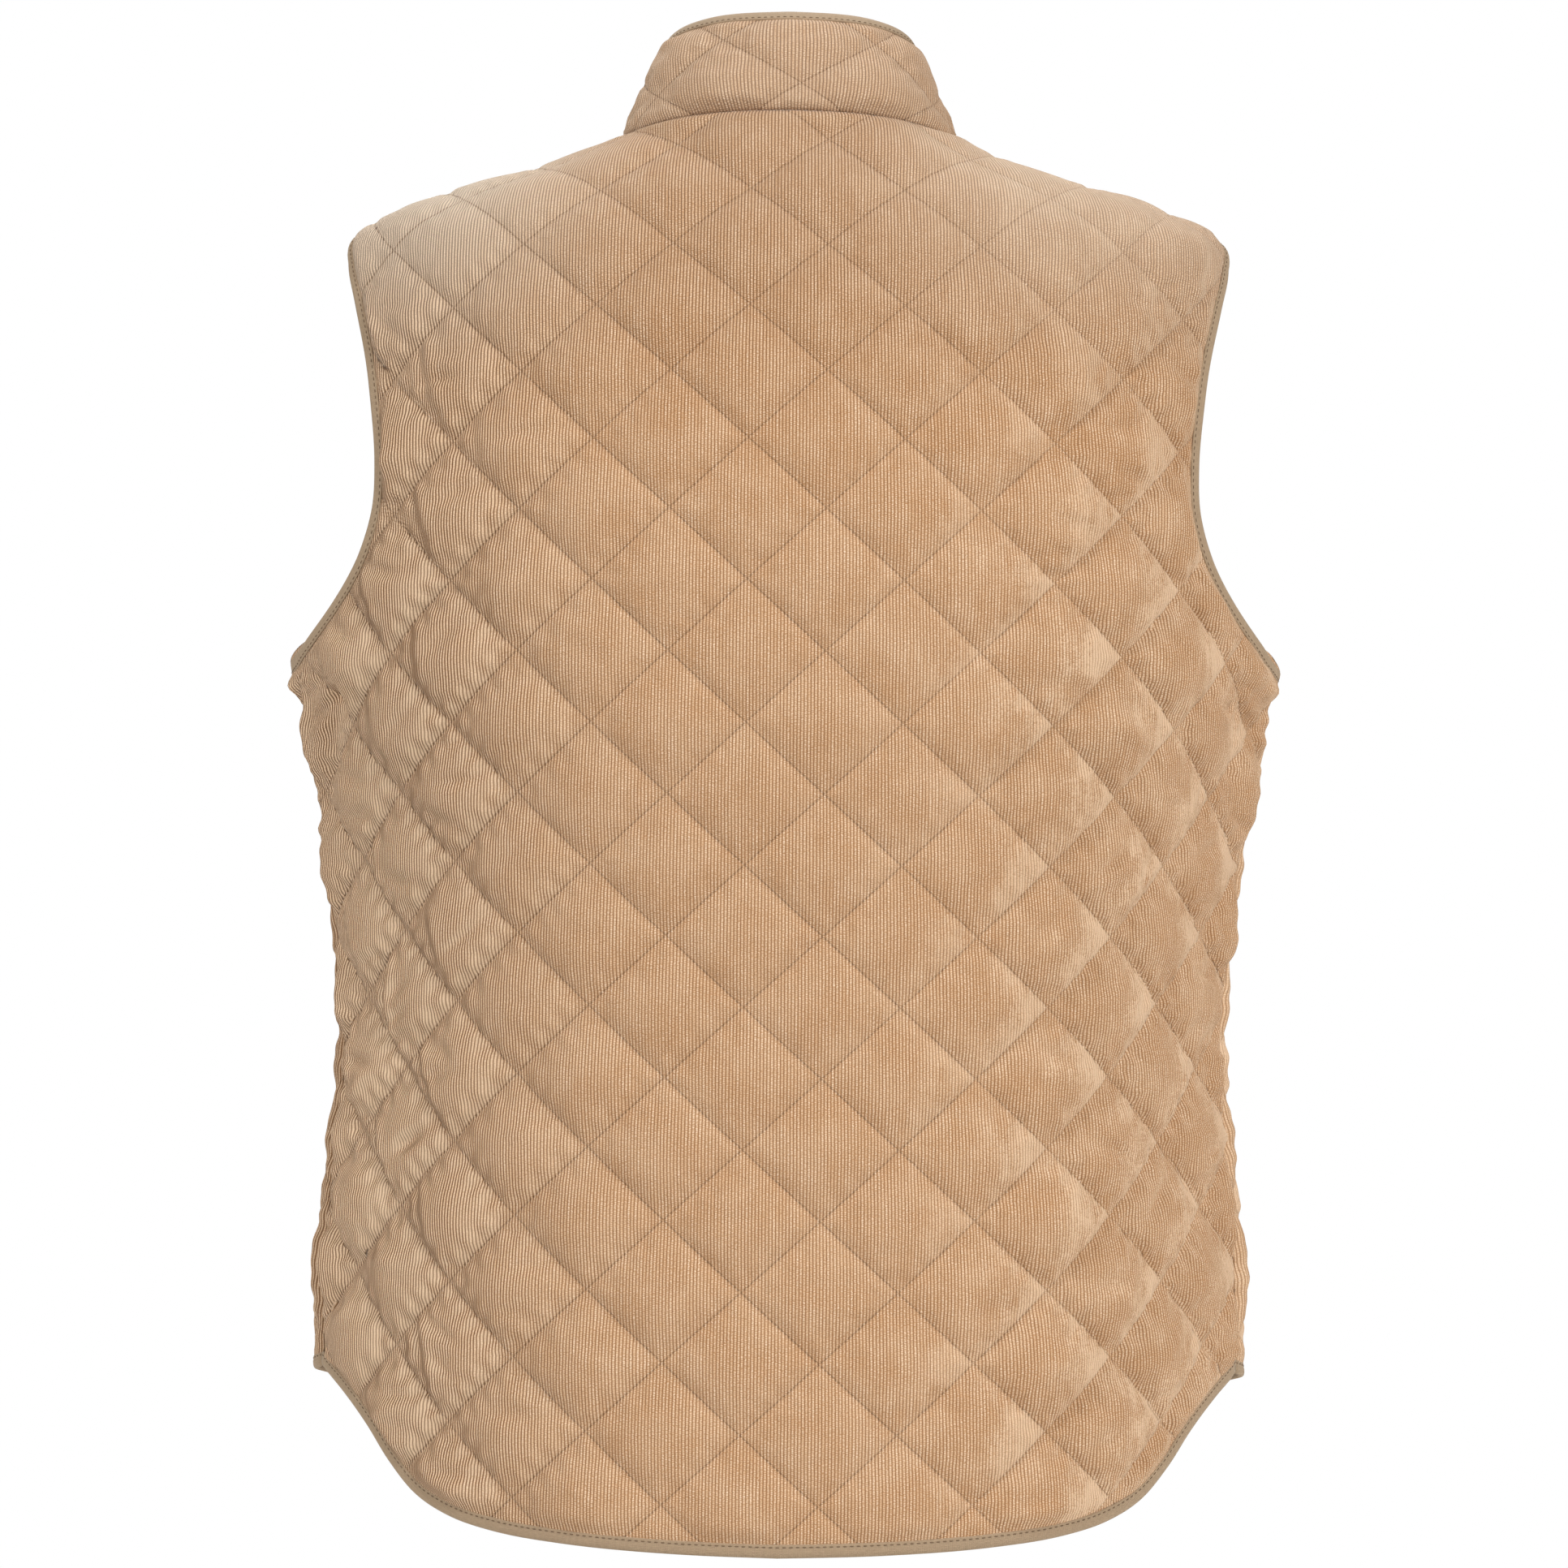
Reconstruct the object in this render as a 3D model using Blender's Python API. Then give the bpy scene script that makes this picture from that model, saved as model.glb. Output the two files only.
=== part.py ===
"""Quilted corduroy gilet, kept in the form it has when it is worn, with no wearer in it.

Each cloth panel is a wall on a figure made of horizontal sections. A panel is cut in flat
coordinates, across (from the centre line) and along (up the cloth), so that its quilting lines
are straight as they were sewn; the flat points are then placed on the figure. The inside stays
plain and the outside rises in the middle of each diamond.

Metres, +Z up, front towards -Y, the wearer's left towards +X. The origin lies between the
shoulders at the level of the side neck points.
"""

import math
from collections import namedtuple

import bmesh
import bpy
import numpy as np
from mathutils import Vector
from mathutils.geometry import delaunay_2d_cdt

MM = 0.001

# Quilted cloth
WALL = 1.8 * MM
PUFF = 4.6 * MM
PUFF_ROUNDNESS = 0.6
DIAMOND_WIDTH = 74.0 * MM
DIAMOND_HEIGHT = 67.4 * MM
SEAM_BAND = 7.0 * MM
SEAM_FADE = 16.0 * MM
SEAM_HALF_GAP = 0.15 * MM
STATION = 18.0 * MM
BEND_LENGTH = 45.0 * MM
POINT_MARGIN = 6.0 * MM
NEAREST_POINTS = 1.0 * MM
GUIDE_STEP = 26.0 * MM
GUIDE_MARGIN = 4.0 * MM
GUIDE_HEIGHTS = (-660.0 * MM, -70.0 * MM)
CUSHION_SPREAD = 0.22
MITRE_LIMIT = 0.35
PROBE = 0.5 * MM

# Where one quilting crossing lies: across and height on the body, across and rise on the collar
BACK_CROSSING = (18.2 * MM, -295.4 * MM)
FRONT_CROSSING = (18.2 * MM, -295.4 * MM)
COLLAR_CROSSING = (-5.0 * MM, 18.3 * MM)

# Flat cloth of the body: the height where along is zero, the farthest place across, and the steps
# of its table of lengths
DATUM_HEIGHT = -400.0 * MM
FARTHEST_ACROSS = 345.0 * MM
ACROSS_STEP = 5.0 * MM
HEIGHT_STEP = 4.0 * MM

# Seams
SEAM_END_STEP = 0.6
SIDE_SEAM_BACKWARD = 12.0 * MM
SHOULDER_TIP_HEIGHT = -55.0 * MM
SIDE_NECK_HEIGHT = -3.0 * MM
UNDERARM_HEIGHT = -268.0 * MM
BACK_HEM_SIDE_HEIGHT = -614.0 * MM

# Front closing: the wearer's left laps over the right
OVERLAP = 16.0 * MM
LAP_LIFT = 5.8 * MM
LAP_RAMP = (18.0 * MM, 60.0 * MM)
FLAT_FRONT = (18.0 * MM, 46.0 * MM)
CORNER_RADIUS = 35.0 * MM

# Bound edges
BINDING_WIDTH = 5.5 * MM
BINDING_THICKNESS = 0.9 * MM
BINDING_GAP = 0.5 * MM
BINDING_TRIM = 2.8 * MM
BINDING_ROUND = 0.5 * MM

# Stand collar
COLLAR_HEIGHT = 72.0 * MM
COLLAR_TAPER = 0.20
COLLAR_SEAM_GAP = 2.4 * MM
COLLAR_TOP_HALF_WIDTH = 62.0 * MM
COLLAR_TOP_BACK = 15.0 * MM
COLLAR_TOP_FRONT = -97.0 * MM
COLLAR_BULGE_BACK = 7.0 * MM
COLLAR_BULGE_FRONT = 0.5 * MM
COLLAR_BULGE_ENDS = 0.45
COLLAR_CENTRE = (0.0, -20.0 * MM, 0.0)
COLLAR_CORNER_RADIUS = 14.0 * MM

# Press studs
STUD_RADIUS = 7.5 * MM
STUD_RISE = 2.6 * MM
STUD_GAP = 0.3 * MM
STUD_SIDES = 14
STUD_HEIGHTS = (-98.0, -190.0, -282.0, -374.0, -466.0, -558.0)
STUD_COLLAR_RISE = 0.55
StudRing = namedtuple("StudRing", "radius_share rise_share")
STUD_RINGS = (StudRing(0.9, 0.0), StudRing(1.0, 0.35), StudRing(0.8, 0.8))

# Inside of the cloth, millimetres: section height, half width, depth to the centre back and to the
# centre front, and how far the flanks are pinched in towards the side seam
PINCH_POWER = 6
Section = namedtuple("Section", "height half_width back front pinch")
SECTIONS = (
    Section(-730, 227.0, 138, 112, 0.62),
    Section(-601, 229.5, 140, 113, 0.64),
    Section(-536, 226.5, 140, 112, 0.65),
    Section(-504, 222.5, 140, 111, 0.65),
    Section(-456, 218.5, 140, 110, 0.65),
    Section(-391, 223.0, 142, 112, 0.64),
    Section(-326, 232.0, 146, 116, 0.60),
    Section(-294, 240.0, 148, 117, 0.54),
    Section(-268, 245.0, 148, 118, 0.47),
    Section(-230, 242.5, 147, 117, 0.44),
    Section(-180, 238.0, 142, 113, 0.38),
    Section(-130, 233.0, 131, 104, 0.28),
    Section(-90, 226.5, 116, 91, 0.14),
    Section(-70, 221.0, 106, 82, 0.06),
    Section(-55, 214.0, 98, 73, 0.0),
    Section(-38, 179.0, 86, 61, 0.0),
    Section(-22, 125.0, 74, 53, 0.0),
    Section(-6, 86.0, 62, 46, 0.0),
    Section(3, 78.0, 57, 43, 0.0),
    Section(16, 73.0, 50, 41, 0.0),
)

# Hems, millimetres: arc from the centre line and height; each ends at the side seam
HemRow = namedtuple("HemRow", "across height")
BACK_HEM = (
    HemRow(0, -689.0),
    HemRow(50, -687.8),
    HemRow(104, -685.0),
    HemRow(140, -681.5),
    HemRow(166, -676.5),
    HemRow(189, -668.0),
    HemRow(209, -654.5),
    HemRow(228, -639.0),
    HemRow(250, -625.5),
)
FRONT_HEM = (
    HemRow(21, -672.0),
    HemRow(80, -671.0),
    HemRow(130, -667.0),
    HemRow(165, -659.0),
    HemRow(195, -646.0),
    HemRow(228, -629.5),
)

# Armhole edges, millimetres: height, and distance of the cloth edge from the side line
ArmholeRow = namedtuple("ArmholeRow", "height from_side")
BACK_ARMHOLE = (
    ArmholeRow(-55, 0),
    ArmholeRow(-57, 9),
    ArmholeRow(-66, 19),
    ArmholeRow(-86, 39),
    ArmholeRow(-110, 56),
    ArmholeRow(-140, 70),
    ArmholeRow(-170, 79),
    ArmholeRow(-192, 81),
    ArmholeRow(-214, 74),
    ArmholeRow(-236, 56),
    ArmholeRow(-253, 35),
    ArmholeRow(-264, 16),
    ArmholeRow(-268, 0),
)
FRONT_ARMHOLE = (
    ArmholeRow(-55, 0),
    ArmholeRow(-57, 9),
    ArmholeRow(-68, 20),
    ArmholeRow(-92, 41),
    ArmholeRow(-122, 62),
    ArmholeRow(-155, 77),
    ArmholeRow(-186, 82),
    ArmholeRow(-212, 76),
    ArmholeRow(-236, 57),
    ArmholeRow(-253, 35),
    ArmholeRow(-264, 16),
    ArmholeRow(-268, 0),
)

# Neck seam, millimetres: distance from the middle and height, from the centre to the side neck point
NeckRow = namedtuple("NeckRow", "x height")
BACK_NECK = (
    NeckRow(0, 4.5),
    NeckRow(30, 4.0),
    NeckRow(52, 2.4),
    NeckRow(69, -0.2),
    NeckRow(78, -2.2),
    NeckRow(82.4, -3.0),
)
FRONT_NECK = (
    NeckRow(0, -70.0),
    NeckRow(22, -66.5),
    NeckRow(43, -57.0),
    NeckRow(59, -43.0),
    NeckRow(71, -27.0),
    NeckRow(79, -12.5),
    NeckRow(82.4, -3.0),
)

# Collar top edge: turn round the neck from centre back, degrees, and height, millimetres
RimRow = namedtuple("RimRow", "turn height")
COLLAR_RIM = (
    RimRow(0, 56.5),
    RimRow(40, 55.0),
    RimRow(72, 49.0),
    RimRow(90, 41.5),
    RimRow(135, 13.0),
    RimRow(180, -12.0),
)

# Largest folds, millimetres: a line on the cloth, the fold's half width, and how far it sinks
Fold = namedtuple("Fold", "start end half_width depth")
FOLDS = (
    Fold((216, 44, -283), (233, 22, -340), 9, 5.0),
    Fold((-214, 46, -290), (-232, 22, -352), 10, 4.0),
    Fold((205, 60, -520), (222, 34, -585), 12, 3.0),
    Fold((-205, 60, -500), (-221, 36, -560), 12, 3.0),
)

CORDUROY = (0.47, 0.29, 0.15, 1.0)
TAPE = (0.29, 0.22, 0.15, 1.0)
STUD_FINISH = (0.20, 0.15, 0.10, 1.0)


def smooth(places, values, at):
    """Cubic curve through the rows of a table, with slopes taken from the neighbouring rows."""
    places = np.asarray(places, float)
    values = np.asarray(values, float)
    slopes = np.gradient(values, places)
    at = np.clip(at, places[0], places[-1])
    cell = np.clip(np.searchsorted(places, at) - 1, 0, len(places) - 2)
    span = places[cell + 1] - places[cell]
    t = (at - places[cell]) / span
    rise = values[cell + 1] - values[cell]
    start = slopes[cell] * span
    end = slopes[cell + 1] * span
    return values[cell] + t * (start + t * (3 * rise - 2 * start - end + t * (start + end - 2 * rise)))


def ramp(value, low, high):
    """Soft step from 0 at low to 1 at high."""
    t = np.clip((value - low) / (high - low), 0.0, 1.0)
    return t * t * (3.0 - 2.0 * t)


def lengths(points):
    """Running length of a polyline."""
    steps = np.linalg.norm(np.diff(points, axis=0), axis=1)
    return np.concatenate([[0.0], np.cumsum(steps)])


def spline(rows, spacing):
    """Even points on a smooth curve through the rows of a table."""
    rows = np.asarray(rows, float)
    fine = np.linspace(0.0, 1.0, 40 * len(rows))
    share = lengths(rows) / lengths(rows)[-1]
    curve = np.column_stack([smooth(share, column, fine) for column in rows.T])
    return resample(curve, spacing)


def resample(points, spacing, run=None):
    """The same polyline in equal steps, no longer than the spacing, of a running length."""
    run = lengths(points) if run is None else run
    count = max(1, math.ceil(run[-1] / spacing))
    at = np.linspace(0.0, run[-1], count + 1)
    return np.column_stack([np.interp(at, run, column) for column in np.asarray(points).T])


SECTION_TABLE = np.array(SECTIONS, float)
TURNS = np.linspace(0.0, math.pi, 241)


def section(height, turn):
    """Half section at a height, from the centre back (turn 0) over the side to the centre front."""
    heights = SECTION_TABLE[:, 0] * MM
    half_width, back, front, pinch = (smooth(heights, SECTION_TABLE[:, k], height) for k in range(1, 5))
    depth = np.where(turn < math.pi / 2, back, front) * MM
    x = half_width * MM * np.sin(turn)
    y = depth * np.cos(turn) * (1.0 - pinch * np.sin(turn) ** PINCH_POWER)
    return x, y


def section_arcs(height):
    """Length along each half section, from the centre back, at every turn."""
    x, y = section(np.asarray(height)[:, None], TURNS[None, :])
    steps = np.hypot(np.diff(x, axis=1), np.diff(y, axis=1))
    return np.concatenate([np.zeros((len(steps), 1)), np.cumsum(steps, axis=1)], axis=1)


def side_arc(height, front):
    """Arc from a centre line to the side line."""
    arc = section_arcs(np.atleast_1d(height))
    side = arc[:, len(TURNS) // 2]
    return arc[:, -1] - side if front else side


def arc_at(x, height, front):
    """Arc from a centre line to the place at a distance x from the middle."""
    height = np.atleast_1d(height)
    half_width = section(height, np.full(len(height), math.pi / 2))[0]
    turn = np.arcsin(np.clip(np.abs(x) / half_width, 0.0, 1.0))
    turn = math.pi - turn if front else turn
    arc = section_arcs(height)
    at = np.array([np.interp(t, TURNS, row) for t, row in zip(turn, arc)])
    return np.sign(x) * (arc[:, -1] - at if front else at)


def on_figure(across, height, front):
    """Point of the figure at a signed arc from the centre back or the centre front."""
    arc = section_arcs(height)
    reach = np.clip(np.abs(across), 0.0, arc[:, -1])
    reach = arc[:, -1] - reach if front else reach
    rows = np.arange(len(height))
    cell = np.clip((arc < reach[:, None]).sum(axis=1) - 1, 0, len(TURNS) - 2)
    share = (reach - arc[rows, cell]) / (arc[rows, cell + 1] - arc[rows, cell])
    x, y = section(height, TURNS[cell] + share * (TURNS[1] - TURNS[0]))
    return np.column_stack([np.sign(across) * x, y, height])


def fold_sink(points):
    """How far the folds sink the cloth at each point."""
    sink = np.zeros(len(points))
    for fold in FOLDS:
        start = np.array(fold.start) * MM
        line = np.array(fold.end) * MM - start
        t = np.clip((points - start) @ line / (line @ line), 0.0, 1.0)
        distance = np.linalg.norm(points - start - t[:, None] * line, axis=1)
        sink += fold.depth * MM * np.exp(-((distance / (fold.half_width * MM)) ** 2))
    return sink


def crossed(a, b):
    """Unit vectors square to two sets of vectors."""
    normal = np.cross(a, b)
    return normal / np.linalg.norm(normal, axis=1)[:, None]


def lap_lift(from_centre):
    """How far forward the upper front lies where it covers the lower one."""
    return LAP_LIFT * (1.0 - ramp(from_centre, *LAP_RAMP))


class BodyCloth:
    """Cloth on the body, back or front, in flat coordinates: across, and along from a datum height."""

    def __init__(self, front, mirrored=False, upper=False):
        self.front = front
        self.mirrored = mirrored
        self.upper = upper
        self.across = np.arange(0.0, FARTHEST_ACROSS + ACROSS_STEP / 2, ACROSS_STEP)
        low, high = SECTION_TABLE[0, 0] * MM, SECTION_TABLE[-1, 0] * MM
        self.heights = np.linspace(low, high, round((high - low) / HEIGHT_STEP) + 1)
        self.table = np.array([self.lengths_at(across) for across in self.across])
        crossing = FRONT_CROSSING if front else BACK_CROSSING
        along = self.along(np.array([crossing[0]]), np.array([crossing[1]]))[0]
        self.crossing = np.array([crossing[0], along])

    def lengths_at(self, across):
        """Length up the cloth at one distance across."""
        run = lengths(on_figure(np.full(len(self.heights), across), self.heights, self.front))
        return run - np.interp(DATUM_HEIGHT, self.heights, run)

    def columns(self, across):
        """Lengths up the cloth at any distances across, from the two nearest columns."""
        place = np.clip(np.abs(across) / self.across[1], 0.0, len(self.across) - 1.001)
        cell = place.astype(int)
        share = (place - cell)[:, None]
        return (1.0 - share) * self.table[cell] + share * self.table[cell + 1]

    def along(self, across, height):
        """Flat coordinate along the cloth at a height."""
        profile = self.columns(across)
        return np.array([np.interp(h, self.heights, row) for h, row in zip(height, profile)])

    def height(self, across, along):
        """Height of a flat point."""
        profile = self.columns(across)
        return np.array([np.interp(a, row, self.heights) for a, row in zip(along, profile)])

    def flat(self, across, height):
        """Flat points at distances across and heights."""
        return np.column_stack([across, self.along(across, height)])

    def place(self, flat, out):
        """Points of space at a distance out of the figure's surface."""
        across, along = flat.T
        height = self.height(across, along)
        here = on_figure(across, height, self.front)
        over = on_figure(across + PROBE, height, self.front) - on_figure(across - PROBE, height, self.front)
        up = on_figure(across, height + PROBE, self.front) - on_figure(across, height - PROBE, self.front)
        normal = crossed(over, up) if self.front else crossed(up, over)
        side = (-1.0, 1.0, 1.0) if self.mirrored else (1.0, 1.0, 1.0)
        points = here + normal * (out - fold_sink(here * side))[:, None]
        if self.upper:
            points[:, 1] -= lap_lift(across)
        return points * side

    def guides(self):
        """Flat points that hold the front's turn at the side line and the slope of its lap."""
        if not self.front:
            return np.zeros((0, 2))
        height = np.arange(*GUIDE_HEIGHTS, GUIDE_STEP)
        lines = [side_arc(height, True)]
        if self.upper:
            lines += [np.full(len(height), LAP_RAMP[0]), np.full(len(height), sum(LAP_RAMP) / 2)]
        return np.vstack([self.flat(line, height) for line in lines])

    def puff_share(self, flat):
        """Share of the full puff, less where the fronts lie on each other."""
        if not self.front:
            return np.ones(len(flat))
        return ramp(flat[:, 0], *FLAT_FRONT)


def neck_seam():
    """Half of the neck seam on the inside of the cloth, from centre back to centre front."""
    halves = []
    for rows, front in ((BACK_NECK, False), (FRONT_NECK, True)):
        line = spline(rows, 2.0) * MM
        arc = arc_at(line[:, 0], line[:, 1], front)
        halves.append(on_figure(arc, line[:, 1], front))
    return np.vstack([halves[0], halves[1][::-1][1:]])


class CollarCloth:
    """Cloth of the collar in flat coordinates: across round the neck from centre back, and rise."""

    def __init__(self):
        base = neck_seam()
        self.base_share = lengths(base) / lengths(base)[-1]
        self.base = base
        self.half_length = lengths(base)[-1]
        turn = np.linspace(0.0, 180.0, 181)
        middle = (COLLAR_TOP_BACK + COLLAR_TOP_FRONT) / 2
        reach = (COLLAR_TOP_BACK - COLLAR_TOP_FRONT) / 2
        x = COLLAR_TOP_HALF_WIDTH * np.sin(np.radians(turn))
        y = middle + reach * np.cos(np.radians(turn))
        rim = np.array(COLLAR_RIM, float)
        self.top = np.column_stack([x, y, smooth(rim[:, 0], rim[:, 1], turn) * MM])
        self.top_share = lengths(self.top) / lengths(self.top)[-1]
        self.crossing = np.array(COLLAR_CROSSING)

    def bare(self, round_neck, rise):
        """Collar surface at a signed arc of the neck seam and a share of its height."""
        share = np.abs(round_neck) / self.half_length
        past = share > 1.0
        share = np.where(past, 2.0 - share, share)
        low = np.column_stack([np.interp(share, self.base_share, c) for c in self.base.T])
        high = np.column_stack([np.interp(share, self.top_share, c) for c in self.top.T])
        points = low + (high - low) * rise[:, None]
        outward = low * (1.0, 1.0, 0.0) - COLLAR_CENTRE
        outward /= np.linalg.norm(outward, axis=1)[:, None]
        forward = ramp(share, 0.0, COLLAR_BULGE_ENDS)
        bulge = COLLAR_BULGE_BACK + (COLLAR_BULGE_FRONT - COLLAR_BULGE_BACK) * forward
        points = points + outward * (bulge * 4.0 * rise * (1.0 - rise))[:, None]
        side = np.where(past, -1.0, 1.0) * np.where(round_neck < 0.0, -1.0, 1.0)
        return points * np.column_stack([side, np.ones(len(side)), np.ones(len(side))])

    def place(self, flat, out):
        """Points of space at a distance out of the collar's surface."""
        rise = flat[:, 1] / COLLAR_HEIGHT
        round_neck = flat[:, 0] / (1.0 - COLLAR_TAPER * rise)
        lift = PROBE / COLLAR_HEIGHT
        here = self.bare(round_neck, rise)
        over = self.bare(round_neck + PROBE, rise) - self.bare(round_neck - PROBE, rise)
        up = self.bare(round_neck, rise + lift) - self.bare(round_neck, rise - lift)
        points = here + crossed(up, over) * out[:, None]
        points[:, 1] -= lap_lift(self.half_length - round_neck)
        return points

    def guides(self):
        """Flat points that hold the slope of the upper end's lap."""
        rise = np.arange(0.0, COLLAR_HEIGHT, GUIDE_STEP / 2)
        taper = 1.0 - COLLAR_TAPER * rise / COLLAR_HEIGHT
        lines = [(self.half_length - back) * taper for back in (LAP_RAMP[0], sum(LAP_RAMP) / 2)]
        return np.vstack([np.column_stack([line, rise]) for line in lines])

    def puff_share(self, flat):
        """Share of the full puff, less where the ends lie on each other."""
        rise = flat[:, 1] / COLLAR_HEIGHT
        end = self.half_length - np.abs(flat[:, 0]) / (1.0 - COLLAR_TAPER * rise)
        return ramp(end, *FLAT_FRONT)


def back_edges(cloth):
    """Half outline of the back from the hem's middle round to the neck's middle, edge by edge."""
    hem = np.array(BACK_HEM, float) * MM
    seam_end = side_arc(BACK_HEM_SIDE_HEIGHT, False)[0] - SIDE_SEAM_BACKWARD
    hem = spline(np.vstack([hem, [seam_end, BACK_HEM_SIDE_HEIGHT]]) / MM, 2.0) * MM
    height, backward = side_seam()
    side = np.column_stack([side_arc(height, False) - backward, height])
    neck = spline(BACK_NECK, 2.0)[::-1] * MM
    neck = np.column_stack([arc_at(neck[:, 0], neck[:, 1], False), neck[:, 1]])
    edges = (("hem", hem), ("side", side), ("armhole", armhole_edge(BACK_ARMHOLE, False)),
             ("shoulder", shoulder_edge(False)), ("neck", neck))
    return [(name, cloth.flat(*line.T)) for name, line in edges]


def front_edges(cloth):
    """Outline of the left front from its front edge at the hem, edge by edge."""
    turn = np.linspace(0.0, math.pi / 2, 12)
    low = FRONT_HEM[0].height * MM
    corner = np.column_stack([CORNER_RADIUS * (1.0 - np.cos(turn)) - OVERLAP,
                              low + CORNER_RADIUS * (1.0 - np.sin(turn))])
    seam_end = side_arc(BACK_HEM_SIDE_HEIGHT, True)[0] + SIDE_SEAM_BACKWARD
    hem = np.vstack([np.array(FRONT_HEM, float) * MM, [seam_end, BACK_HEM_SIDE_HEIGHT]])
    hem = np.vstack([corner[:-1], spline(hem / MM, 2.0) * MM])
    height, backward = side_seam()
    side = np.column_stack([side_arc(height, True) + backward, height])
    rows = np.array(FRONT_NECK, float)
    past = rows[1:2] * (-1.0, 1.0)
    neck = spline(np.vstack([past, rows]), 1.0)[::-1] * MM
    neck = neck[neck[:, 0] > -OVERLAP]
    neck = np.column_stack([arc_at(neck[:, 0], neck[:, 1], True), neck[:, 1]])
    opening = np.linspace(neck[-1], corner[0], 40)
    edges = (("hem", hem), ("side", side), ("armhole", armhole_edge(FRONT_ARMHOLE, True)),
             ("shoulder", shoulder_edge(True)), ("neck", neck), ("opening", opening))
    return [(name, cloth.flat(*line.T)) for name, line in edges]


def armhole_edge(rows, front):
    """Armhole edge from the underarm up to the shoulder tip: arc from the centre line, and height."""
    line = spline(rows, 2.0)[::-1] * MM
    return np.column_stack([side_arc(line[:, 0], front) - line[:, 1], line[:, 0]])


def seam_steps(length):
    """Places along a sewn seam a station apart, with a shorter step at each end."""
    first = SEAM_END_STEP * STATION
    count = math.ceil((length - 2.0 * first) / STATION)
    return np.concatenate([[0.0], np.linspace(first, length - first, count + 1), [length]])


def side_seam():
    """Heights up the side seam a station apart, and how far it lies behind the side line."""
    height = BACK_HEM_SIDE_HEIGHT + seam_steps(UNDERARM_HEIGHT - BACK_HEM_SIDE_HEIGHT)
    share = (height - UNDERARM_HEIGHT) / (BACK_HEM_SIDE_HEIGHT - UNDERARM_HEIGHT)
    return height, SIDE_SEAM_BACKWARD * share


def shoulder_edge(front):
    """Shoulder seam on the ridge of the shoulder, from its tip to the side neck point."""
    height = np.linspace(SHOULDER_TIP_HEIGHT, SIDE_NECK_HEIGHT, 60)
    ridge = np.column_stack([section(height, np.full(60, math.pi / 2))[0], height])
    run = lengths(ridge)
    height = np.interp(seam_steps(run[-1]), run, height)
    return np.column_stack([side_arc(height, front), height])


def collar_edges(cloth):
    """Outline of the collar: along the neck seam, up the left end, back along the top, down."""
    end = cloth.half_length + OVERLAP
    low = COLLAR_SEAM_GAP
    slope = 1.0 - COLLAR_TAPER
    seam = np.column_stack([np.linspace(-end, end, 200), np.full(200, low)])
    seam[:, 0] *= 1.0 - COLLAR_TAPER * low / COLLAR_HEIGHT
    turn = np.linspace(0.0, math.pi / 2, 8)
    top_end = end * slope - COLLAR_CORNER_RADIUS
    corner = np.column_stack([top_end + COLLAR_CORNER_RADIUS * np.cos(turn),
                              COLLAR_HEIGHT - COLLAR_CORNER_RADIUS * (1.0 - np.sin(turn))])
    corner[:, 0] += end * COLLAR_TAPER * (1.0 - corner[:, 1] / COLLAR_HEIGHT)
    side = np.linspace(seam[-1], corner[0], 12)
    top = np.linspace(corner[-1], (0.0, COLLAR_HEIGHT), 80)
    half = np.vstack([side, corner[1:], top[1:]])
    top = np.vstack([half, half[-2::-1] * (-1.0, 1.0)])
    return [("seam", seam), ("free", top)]


def inward(loop):
    """Mitred inward directions at the corners of a loop drawn anticlockwise."""
    ahead = np.roll(loop, -1, axis=0) - loop
    ahead /= np.linalg.norm(ahead, axis=1)[:, None]
    left = np.column_stack([-ahead[:, 1], ahead[:, 0]])
    before = np.roll(left, 1, axis=0)
    turn = np.maximum(1.0 + (left * before).sum(axis=1), MITRE_LIMIT)
    return (left + before) / turn[:, None]


def bend_run(line, cloth):
    """Running length of a line on the cloth, longer where the line turns."""
    steps = np.diff(cloth.place(line, np.zeros(len(line))), axis=0)
    size = np.linalg.norm(steps, axis=1)
    ahead = steps / size[:, None]
    turned = np.arccos(np.clip((ahead[1:] * ahead[:-1]).sum(axis=1), -1.0, 1.0))
    size[1:] += BEND_LENGTH * turned
    return np.concatenate([[0.0], np.cumsum(size)])


def stations(edges, cloth):
    """Loop of outline points, closer on bends, and the points of each named edge in it."""
    loop = []
    names = {}
    for name, line in edges:
        sewn = name.endswith(("side", "shoulder"))
        points = line if sewn else resample(line, STATION, bend_run(line, cloth))
        names[name] = range(len(loop), len(loop) + len(points))
        loop.extend(points[:-1])
    loop = np.array(loop)
    return loop + inward(loop) * SEAM_HALF_GAP, names


def inside(points, loop, margin):
    """Which points lie in a loop, farther than the margin from its sides."""
    ends = np.roll(loop, -1, axis=0)
    side = ends - loop
    to_point = points[:, None, :] - loop[None, :, :]
    t = np.clip((to_point * side).sum(axis=2) / (side * side).sum(axis=1), 0.0, 1.0)
    distance = np.linalg.norm(to_point - t[:, :, None] * side, axis=2).min(axis=1)
    straddles = (loop[:, 1] > points[:, 1:]) != (ends[:, 1] > points[:, 1:])
    rise = np.where(side[:, 1] == 0.0, 1.0, side[:, 1])
    meets = loop[:, 0] + (points[:, 1:] - loop[:, 1]) / rise * side[:, 0]
    within = (straddles & (points[:, :1] < meets)).sum(axis=1) % 2 == 1
    return within & (distance > margin), distance


def to_diamonds(flat, crossing):
    """Diamond coordinates, whole numbers on the quilting lines."""
    u = (flat[:, 0] - crossing[0]) / DIAMOND_WIDTH
    v = (flat[:, 1] - crossing[1]) / DIAMOND_HEIGHT
    return np.column_stack([u + v, u - v])


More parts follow.
